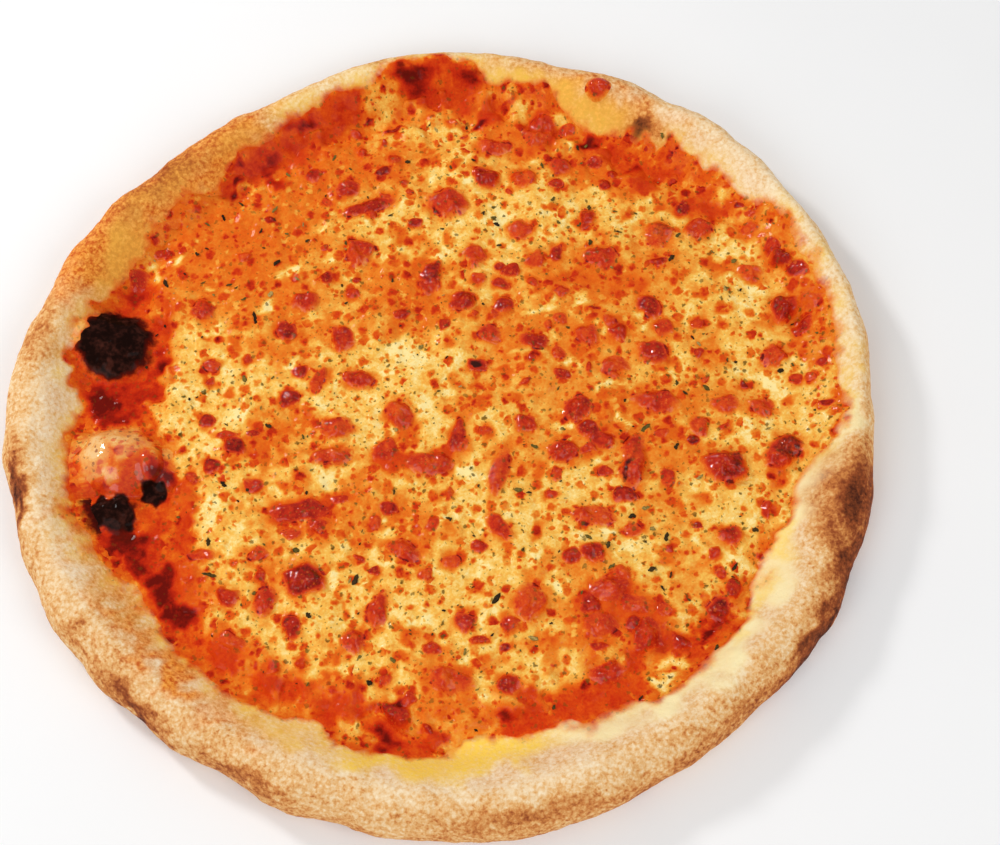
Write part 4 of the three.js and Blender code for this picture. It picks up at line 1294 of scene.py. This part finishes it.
@dataclass
class Cheese:
    """Melted cheese over the sauce, a closed surface whose edge dips into the sauce.

    Attributes:
        form: the heights that it follows.
        topping: its colours.
        side: grid lines each way of the square that is mapped to the cheese's outline.
        margin: how far the grid runs past the cheese's mean edge.
        sunk: how far its hidden floor lies under the dough's surface.
        under_shares: radii of the floor's grid lines, as shares of the edge's.
    """

    form: BakedForm
    topping: Topping
    side: int = 296
    margin: float = 7.0
    sunk: float = 0.5
    under_shares: tuple[float, ...] = (0.99, 0.96, 0.93, 0.9, 0.86, 0.82, 0.76, 0.66)

    def plan(self) -> tuple[Array, Array]:
        """A square grid bent onto the cheese's outline.

        Squares round the middle become rings: the larger of the two coordinates gives the radius, and their
        ratio gives the angle inside each quarter.

        Returns:
            Places along X and Y, by row and column.
        """
        a, b = np.meshgrid(*2 * [np.linspace(-1, 1, self.side)], indexing="xy")
        a = a + 1e-9
        wide = np.abs(a) > np.abs(b)
        radius = np.where(wide, a, b)
        ratio = np.where(wide, b / np.where(wide, a, 1), a / np.where(wide, 1, np.where(b == 0, 1, b)))
        angle = np.where(wide, TURN / 8 * ratio, TURN / 4 - TURN / 8 * ratio)
        unit_x, unit_y = radius * np.cos(angle), radius * np.sin(angle)
        angle = np.arctan2(unit_y, unit_x)
        reach = np.minimum(self.form.cheese.at(angle) + self.margin, self.form.crest.at(angle) - 1)
        return unit_x * reach, unit_y * reach

    def build(self) -> bpy.types.Object:
        """Makes the piece.

        Returns:
            The cheese, riding on the part.
        """
        form = self.form
        x, y = self.plan()
        points = np.stack([x, y, form.cheese_top(x, y)], axis=-1).reshape(-1, 3)
        number = np.arange(self.side ** 2).reshape(self.side, self.side)
        corners = [number[:-1, :-1], number[:-1, 1:], number[1:, 1:], number[1:, :-1]]
        quads = np.stack(corners, axis=-1).reshape(-1, 4)
        rim = np.concatenate([number[0, :-1], number[:-1, -1], number[-1, :0:-1], number[:0:-1, 0]])
        under = points[rim][None] * np.array(self.under_shares)[:, None, None]
        under[..., 2] = form.dough(under[..., 0], under[..., 1]) - self.sunk
        lower = len(points) + np.arange(under[..., 0].size).reshape(under.shape[:2])
        rings = np.concatenate([rim[None], lower])
        after = np.roll(rings, -1, axis=1)
        skirt = np.stack([rings[:-1], rings[1:], after[1:], after[:-1]], axis=-1).reshape(-1, 4)
        points = np.concatenate([points, under.reshape(-1, 3), [[0, 0, form.base - self.sunk]]])
        faces = [quads, skirt, fan_faces(rings[-1][::-1], len(points) - 1)]
        fields = {"rich": self.topping.rich(points[:, 0], points[:, 1])}
        piece = make_piece("cheese", points, faces, fields, CheeseFinish().material())
        return put_on(piece, ("melted_cheese",))


@dataclass(frozen=True)
class Lump(Patch):
    """A lump of sobrasada: a patch with a height.

    Attributes:
        height: how far it rises.
    """

    height: float = 0.0


def packed_lumps() -> tuple[tuple[str, ...], tuple[Lump, ...]]:
    """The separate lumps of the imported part.

    Each lump's middle is the middle of its corners, and its long way is the main axis of their spread in
    plan.

    Returns:
        Their node names and their places and sizes.
    """
    names = tuple(sorted(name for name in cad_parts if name.startswith("sobrasada_")))
    lumps = []
    for name in names:
        points = node_points(name)
        middle = points.mean(axis=0)
        spread = np.cov((points - middle)[:, :2].T)
        way = np.linalg.eigh(spread)[1][:, 1]
        along = (points - middle)[:, :2] @ way
        across = (points - middle)[:, :2] @ np.array([-way[1], way[0]])
        turn = math.degrees(math.atan2(way[1], way[0]))
        height = np.ptp(points[:, 2])
        lumps.append(Lump(middle[0], middle[1], np.ptp(along), np.ptp(across), turn, 1.0, height))
    return names, tuple(lumps)


@dataclass(frozen=True)
class DomeGrid:
    """How finely lumps are made.

    Attributes:
        rows: grid lines from the crown down to the edge.
        columns: grid lines round each lump.
        seed: what the unevenness is drawn from.
    """

    rows: int
    columns: int
    seed: int


@dataclass
class Sobrasada:
    """Lumps of sobrasada: the separate ones of the part, and the crumbs that are fused to its cheese.

    Attributes:
        topping: its colours, and where the crumbs lie.
        names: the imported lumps' nodes.
        lumps: their places and sizes.
        large: the grid of the lumps.
        small: the grid of the crumbs.
        sink: how far a lump's floor lies under what it is on.
        flatness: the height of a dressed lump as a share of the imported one's.
        spread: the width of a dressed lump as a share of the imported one's.
        crumb_rise: the height of a crumb as a share of its width.
        roundness: the power that shapes a dome.
        edge_drop: how far a dome's edge dips into what it lies on.
        uneven: the least and the most that waves round a lump stretch its outline.
        warps: waves that bend outlines along X and along Y.
        dents: waves that dent the tops.
        tones: the least and the most that a lump's richness strays from the core's.
        rim_pull: how far a lump on the bare rim is drawn in, as a share of its distance.
        rim_long: how much longer it is, as a share.
        rim_narrow: how much narrower it is, as a share.
        rim_lift: how much higher it lies.
        rim_drop: how much further its edge dips.
        burnt: where lumps are burnt.
    """

    topping: Topping
    names: tuple[str, ...]
    lumps: tuple[Lump, ...]
    large: DomeGrid = DomeGrid(12, 36, 61)
    small: DomeGrid = DomeGrid(9, 24, 71)
    sink: float = 1.0
    flatness: float = 0.6
    spread: float = 1.06
    crumb_rise: float = 0.19
    roundness: float = 1.2
    edge_drop: float = 0.3
    uneven: tuple[float, float] = (0.02, 0.13)
    warps: tuple[Swells, Swells] = (((0.5, 10, 1), (0.1, 4, 2)), ((0.5, 10, 3), (0.1, 4, 4)))
    dents: Swells = ((0.22, 6, 5), (0.06, 3, 6))
    tones: tuple[float, float] = (-0.16, 0.08)
    rim_pull: float = 0.012
    rim_long: float = 0.08
    rim_narrow: float = 0.06
    rim_lift: float = 1.3
    rim_drop: float = 3.2
    burnt: tuple[Patch, ...] = patches(
        (128, -14, 13, 9, 40, 0.62), (69, -22, 14, 4, 75, 0.8), (109, -19, 6, 6, 0, 0.6),
        (15, 20, 7, 3, -15, 1.2), (84, 77, 8, 4, 0, 0.5), (52, 4, 6, 6, 0, 0.35), (42, 128, 5, 4, 0, 0.8),
    )

    def on_rim(self, x: Array, y: Array) -> Array:
        """How far places lie on the bare rim: 0 on the topping, and 1 from 5 mm outside the sauce's edge."""
        return smooth(-self.topping.form.sauce_inset(x, y), 1, 5)

    def domes(self, lumps: tuple[Lump, ...], grid: DomeGrid) -> tuple[Array, Array]:
        """Uneven low domes, worked out together as arrays.

        Each dome rises over what it lies on by its height times a power of one less its reach squared. Waves
        round each lump make its outline uneven, and noise dents its top.

        Args:
            lumps: places and sizes.
            grid: how finely they are made.

        Returns:
            Points by lump, row, column and axis, and the reach by row.
        """
        rng = np.random.default_rng(grid.seed)
        count = len(lumps)
        table = np.array([[p.x, p.y, p.length, p.width, math.radians(p.turn), p.height] for p in lumps])
        x, y, length, width, turn, height = (column[:, None, None] for column in table.T)
        reach = np.sin(np.linspace(0.06, 1.0, grid.rows) * TURN / 4)[None, :, None]
        angle = (np.arange(grid.columns) * TURN / grid.columns)[None, None, :]
        rim = self.on_rim(x, y)
        uneven = np.ones((count, 1, grid.columns))
        for turns in range(2, 5):
            size = rng.uniform(*self.uneven, (count, 1, 1)) / turns * (1 - 0.7 * rim)
            uneven = uneven + size * np.cos(turns * angle + rng.uniform(0, TURN, (count, 1, 1)))
        along = length / 2 * reach * uneven * np.cos(angle)
        across = width / 2 * reach * uneven * np.sin(angle)
        px, py = placed(x, y, turn, along, across)
        warp_x, warp_y = (swells(rows, px, py, seed=grid.seed) for rows in self.warps)
        bend = 1 - 0.8 * rim
        px, py = px + bend * warp_x, py + bend * warp_y
        dent = 1 + swells(self.dents, px, py, seed=grid.seed)
        edge = self.edge_drop * reach ** 6 + self.rim_drop * rim * reach ** 14
        rise = self.rim_lift * rim + height * (1 - reach ** 2) ** self.roundness * dent
        return np.stack([px, py, self.topping.form.ground(px, py) + rise - edge], axis=-1), reach[0, :, 0]

    def heap(self, name: str, lumps: tuple[Lump, ...], grid: DomeGrid) -> bpy.types.Object:
        """Makes one joined piece of lumps with their colour fields.

        Args:
            name: the piece's name.
            lumps: places and sizes.
            grid: how finely they are made.

        Returns:
            The piece.
        """
        domes, reach = self.domes(lumps, grid)
        crowns = domes[:, 0].mean(axis=1)
        floors = crowns.copy()
        floors[:, 2] = self.topping.form.ground(crowns[:, 0], crowns[:, 1]) - self.sink
        points, faces = closed_lofts(domes, crowns, floors)
        x, y, _ = points.T
        draws = np.random.default_rng(grid.seed + 9).uniform(*self.tones, len(lumps))
        out = np.tile(np.concatenate([np.repeat(reach, grid.columns), [0.0, 1.0]]), len(lumps))
        # Each lump is painted darker red towards its edge: painted shade where it meets the cheese.
        tone = np.repeat(draws, len(points) // len(lumps)) + 0.06 * smooth(out, 0.3, 0.7)
        edge = self.topping.rich(x, y)
        fields = {
            "rich": edge + (self.topping.core + tone - edge) * (1 - smooth(out, 0.5, 1.0)),
            "burn": painted(x, y, self.burnt, 0.5, 0.8),
        }
        return make_piece(name, points, faces, fields, SobrasadaFinish().material())

    def dressed(self, lump: Lump) -> Lump:
        """A packed lump made low and wide, and drawn onto the slope where it lies on the bare rim."""
        rim = float(self.on_rim(lump.x, lump.y))
        pull = 1 - self.rim_pull * rim
        length = (self.spread + self.rim_long * rim) * lump.length
        width = (self.spread - self.rim_narrow * rim) * lump.width
        return Lump(lump.x * pull, lump.y * pull, length, width, lump.turn, 1.0, self.flatness * lump.height)

    def crumb(self, spot: Patch) -> Lump:
        """A crumb whose height follows its width."""
        return Lump(spot.x, spot.y, spot.length, spot.width, spot.turn, 1.0, self.crumb_rise * spot.width)

    def build(self) -> list[bpy.types.Object]:
        """Makes the separate lumps and the crumbs.

        Returns:
            Two joined pieces, riding on the part.
        """
        lumps = tuple(self.dressed(lump) for lump in self.lumps)
        crumbs = tuple(self.crumb(spot) for spot in self.topping.crumbs)
        large = self.heap("sobrasada_lumps", lumps, self.large)
        small = self.heap("sobrasada_crumbs", crumbs, self.small)
        return [put_on(large, self.names), put_on(small, ())]


@dataclass
class Herbs:
    """Dried herb flakes on the cheese and the rim.

    Attributes:
        form: what they lie on.
        spots: places and lengths of the flakes that stand out.
        loose: how many more are scattered.
        stations: grid lines along each flake.
        sides: corners of each flake's section.
        widest: the most that a flake is wide.
        lift: how far a flake's middle lies over what it is on.
        half: half of a flake's thickness.
        seed: what places and shapes are drawn from.
    """

    form: BakedForm
    spots: tuple[tuple[float, float, float], ...] = (
        (-82, -50, 4), (-78, -28, 3.5), (-73, 14, 3.5), (-63, -5, 3.5), (-50, -9, 3), (-29, -64, 5),
        (-50, -53, 4.5), (-21, 6, 2), (-7.5, 27.5, 3), (-16, -31, 2.5), (29, -30, 4), (33, -31, 3),
        (20, 87, 2.5), (20, 82, 2.5), (21, 79, 3.5), (16, 84, 2.5), (34, 88, 2), (45, 80, 2.5), (43, 90, 3),
        (57, 87, 3), (67, 85, 2.5), (68, 75, 3), (75, 84, 2), (91, 74, 3), (57, 71, 4), (3, 104, 2),
        (12, 107, 2.5), (-14, 107, 2.5), (-3, 122, 3), (39, 105, 3), (50, 113, 2.5), (53, 113, 3),
        (21, -71, 6), (34, -85, 4.5), (10, -90, 3), (-15, -93, 3), (-23, -101, 3), (76, -6, 5),
        (87, -13, 3.5), (75, -37, 3.5), (70, -40, 3.5), (77, -45, 3), (95, -25, 3.5), (114, -45, 3.5),
        (106, -59, 5), (76, -60, 4), (80, -67, 3), (82, -48, 4.5), (99, 10, 4), (91, 8, 3), (95, 31, 2.5),
        (97, 28, 3), (48, 35.5, 2), (108, 51, 3), (104, 67, 2.5), (112, 63, 3), (44, 10, 2), (35, -13, 3.5),
        (-63, 62, 4), (-78, 88, 4), (-70, 76, 2.5), (-91, 79, 3.5), (-85, 82, 3), (-94, 66, 2.5),
        (-65, 85, 4), (-81, 53, 3), (-105, 53, 5), (-52, 72, 2.5), (-75, 47, 3), (-65, 49, 3), (-60, 75, 2),
        (-55, 55, 3), (-91, 54, 2.5), (-70, 38, 7), (-66, 2, 2), (-78, -8, 3), (54, -48, 3.5),
        (61, -51, 3.5), (62, -59, 3.5), (83, -62, 3), (59, -81, 3.5), (88, 12, 3), (121, -6, 3),
        (127, 17, 3), (130, 8, 1.5), (114, 51, 2), (141, 31, 2), (65, 60, 2), (53, 79, 3), (88, 64, 4),
        (-81, -62, 6), (-31, -64, 3), (-45, -77, 3), (4, -41, 3), (13, -47.5, 1.5), (-38, 53, 2),
        (0, 77, 2), (22, 70, 2.5), (105, -63, 2), (41, -109, 2), (14, -117, 2), (-43, 109, 3),
        (-61, 102, 3), (86, 116, 4.5), (98, -89, 3.5), (71, -106, 3),
    )
    loose: int = 360
    stations: int = 7
    sides: int = 6
    widest: float = 1.8
    lift: float = 0.4
    half: float = 0.14
    seed: int = 83

    def build(self) -> bpy.types.Object:
        """Makes the flakes.

        A flake is a flat six-sided section carried along a curled line, with a torn, uneven width.

        Returns:
            One joined piece, riding on the part.
        """
        rng = np.random.default_rng(self.seed)
        form = self.form
        angle = rng.uniform(0, TURN, self.loose)
        radius = (form.cheese.at(angle) + 2) * np.sqrt(rng.uniform(0, 1, self.loose))
        spots = np.array(self.spots)
        x = np.concatenate([spots[:, 0], radius * np.cos(angle)])
        y = np.concatenate([spots[:, 1], radius * np.sin(angle)])
        length = np.concatenate([0.85 * spots[:, 2], 0.6 + 1.2 * rng.uniform(0, 1, self.loose) ** 2])
        count = len(x)
        width = np.minimum(length * rng.uniform(0.3, 0.75, count), self.widest)
        turn = rng.uniform(0, TURN, count)
        lean, tilt, curl = rng.uniform(-0.4, 0.4, (3, count))
        torn = rng.uniform(0.45, 1.25, (count, self.stations, self.sides))
        u = np.linspace(-1, 1, self.stations)[None, :, None]
        w = (np.arange(self.sides) * -TURN / self.sides)[None, None, :]
        ground = form.ground(x, y)
        x, y, length, width, turn, lean, tilt, curl, ground = (
            value[:, None, None] for value in (x, y, length, width, turn, lean, tilt, curl, ground)
        )
        taper = np.sqrt(1.02 - u ** 2)
        along = length / 2 * u * np.ones_like(w)
        across = width / 2 * taper * torn * np.cos(w) + 0.3 * width * curl * u ** 2
        px, py = placed(x, y, turn, along, across)
        bow = curl * length / 2 * (u ** 2 - 0.4) + lean * along + tilt * across
        pz = ground + self.lift + bow + self.half * taper * np.sin(w)
        shells = np.stack([px, py, pz], axis=-1)
        points, faces = closed_lofts(shells, shells[:, 0].mean(axis=1), shells[:, -1].mean(axis=1))
        tone = np.repeat(rng.uniform(0, 1, count) ** 1.2, len(points) // count)
        piece = make_piece("herb_flakes", points, faces, {"tone": tone}, HerbFinish().material())
        return put_on(piece, ())


@dataclass(frozen=True)
class Lamp:
    """A round soft lamp that faces the middle of the part.

    Attributes:
        name: the lamp's name.
        place: where it stands, in metres.
        size: its diameter, in metres.
        level: the brightness that it gives a white floor at the middle.
    """

    name: str
    place: tuple[float, float, float]
    size: float
    level: float

    def build(self) -> None:
        """Adds the lamp, with its power worked out from the level, its distance and its slant."""
        away = math.sqrt(sum(value ** 2 for value in self.place))
        x, y, z = self.place
        light = bpy.data.lights.new(self.name, "AREA")
        light.shape = "DISK"
        light.size = self.size
        light.energy = self.level * (math.pi * away) ** 2 * away / z
        holder = bpy.data.objects.new(self.name, light)
        holder.location = self.place
        holder.rotation_euler = (math.atan2(math.hypot(x, y), z), 0.0, math.atan2(x, -y))
        bpy.context.scene.collection.objects.link(holder)


@dataclass
class Studio:
    """A pale floor, soft light and the camera.

    Attributes:
        floor_half: half of the floor's side, in metres.
        floor_gap: how far the floor lies under the part, in millimetres.
        sky: the strength of the even light from all sides.
        lamps: the soft lamps.
        eye: where the camera stands, in metres.
        pitch: how far it is tilted up from straight down, in degrees.
        lens: its focal length, in millimetres.
        sensor: the width of its sensor, in millimetres.
        near: where its view starts, in metres.
    """

    floor_half: float = 4.0
    floor_gap: float = 0.3
    sky: float = 0.48
    lamps: tuple[Lamp, ...] = (
        Lamp("key", (-0.7, 0.56, 0.62), 0.17, 0.22),
        Lamp("left_fill", (-0.7, -0.9, 1.0), 0.9, 0.17),
        Lamp("right_fill", (0.9, -0.6, 1.0), 0.9, 0.17),
    )
    eye: tuple[float, float, float] = (0.02233, -0.23265, 0.57486)
    pitch: float = 22.0
    lens: float = 59.72
    sensor: float = 36.0
    near: float = 0.01

    def floor(self) -> None:
        """Lays a large matt white floor just under the part."""
        paint = Paint("studio_floor", {"Roughness": 0.9})
        shade = paint.blend(paint.noise(60.0, 2.0), paint_colour(246, 246, 246), paint_colour(249, 249, 249))
        half = self.floor_half / MM
        points = half * np.array([[-1, -1, 0], [1, -1, 0], [1, 1, 0], [-1, 1, 0]]) - [0, 0, self.floor_gap]
        white = paint.finish({"Base Color": shade})
        piece = make_piece("floor", points, [np.array([[0, 1, 2, 3]])], {}, white)

    def light(self) -> None:
        """An even white sky and soft lamps, none where flat wet faces would mirror them to the camera."""
        scene = bpy.context.scene
        world = bpy.data.worlds.new("studio_sky")
        world.use_nodes = True
        background = world.node_tree.nodes["Background"]
        background.inputs["Color"].default_value = (1.0, 1.0, 1.0, 1.0)
        background.inputs["Strength"].default_value = self.sky
        scene.world = world
        for lamp in self.lamps:
            lamp.build()
        scene.view_settings.view_transform = "Standard"

    def camera(self) -> None:
        """Looks down on the pizza from the front, 68 degrees above the horizon."""
        data = bpy.data.cameras.new("camera")
        data.lens = self.lens
        data.sensor_width = self.sensor
        data.clip_start = self.near
        holder = bpy.data.objects.new("camera", data)
        holder.location = self.eye
        holder.rotation_euler = (math.radians(self.pitch), 0.0, 0.0)
        bpy.context.scene.collection.objects.link(holder)
        bpy.context.scene.camera = holder

    def build(self) -> None:
        """Sets up floor, light and camera."""
        self.floor()
        self.light()
        self.camera()


def report(piece: bpy.types.Object) -> None:
    """Logs a piece's name and its number of faces."""
    log.info("%s: %d faces", piece.name, len(piece.data.polygons))


def main() -> None:
    """Builds the studio and every sub-assembly in order."""
    logging.basicConfig(level=logging.INFO, format="%(name)s: %(message)s")
    Studio().build()
    form = BakedForm()
    names, lumps = packed_lumps()
    topping = Topping(form, lumps)
    report(Dough(form, topping).build())
    report(Sauce(form, topping).build())
    report(Cheese(form, topping).build())
    for piece in Sobrasada(topping, names, lumps).build():
        report(piece)
    report(Herbs(form).build())


if __name__ == "__main__":
    main()
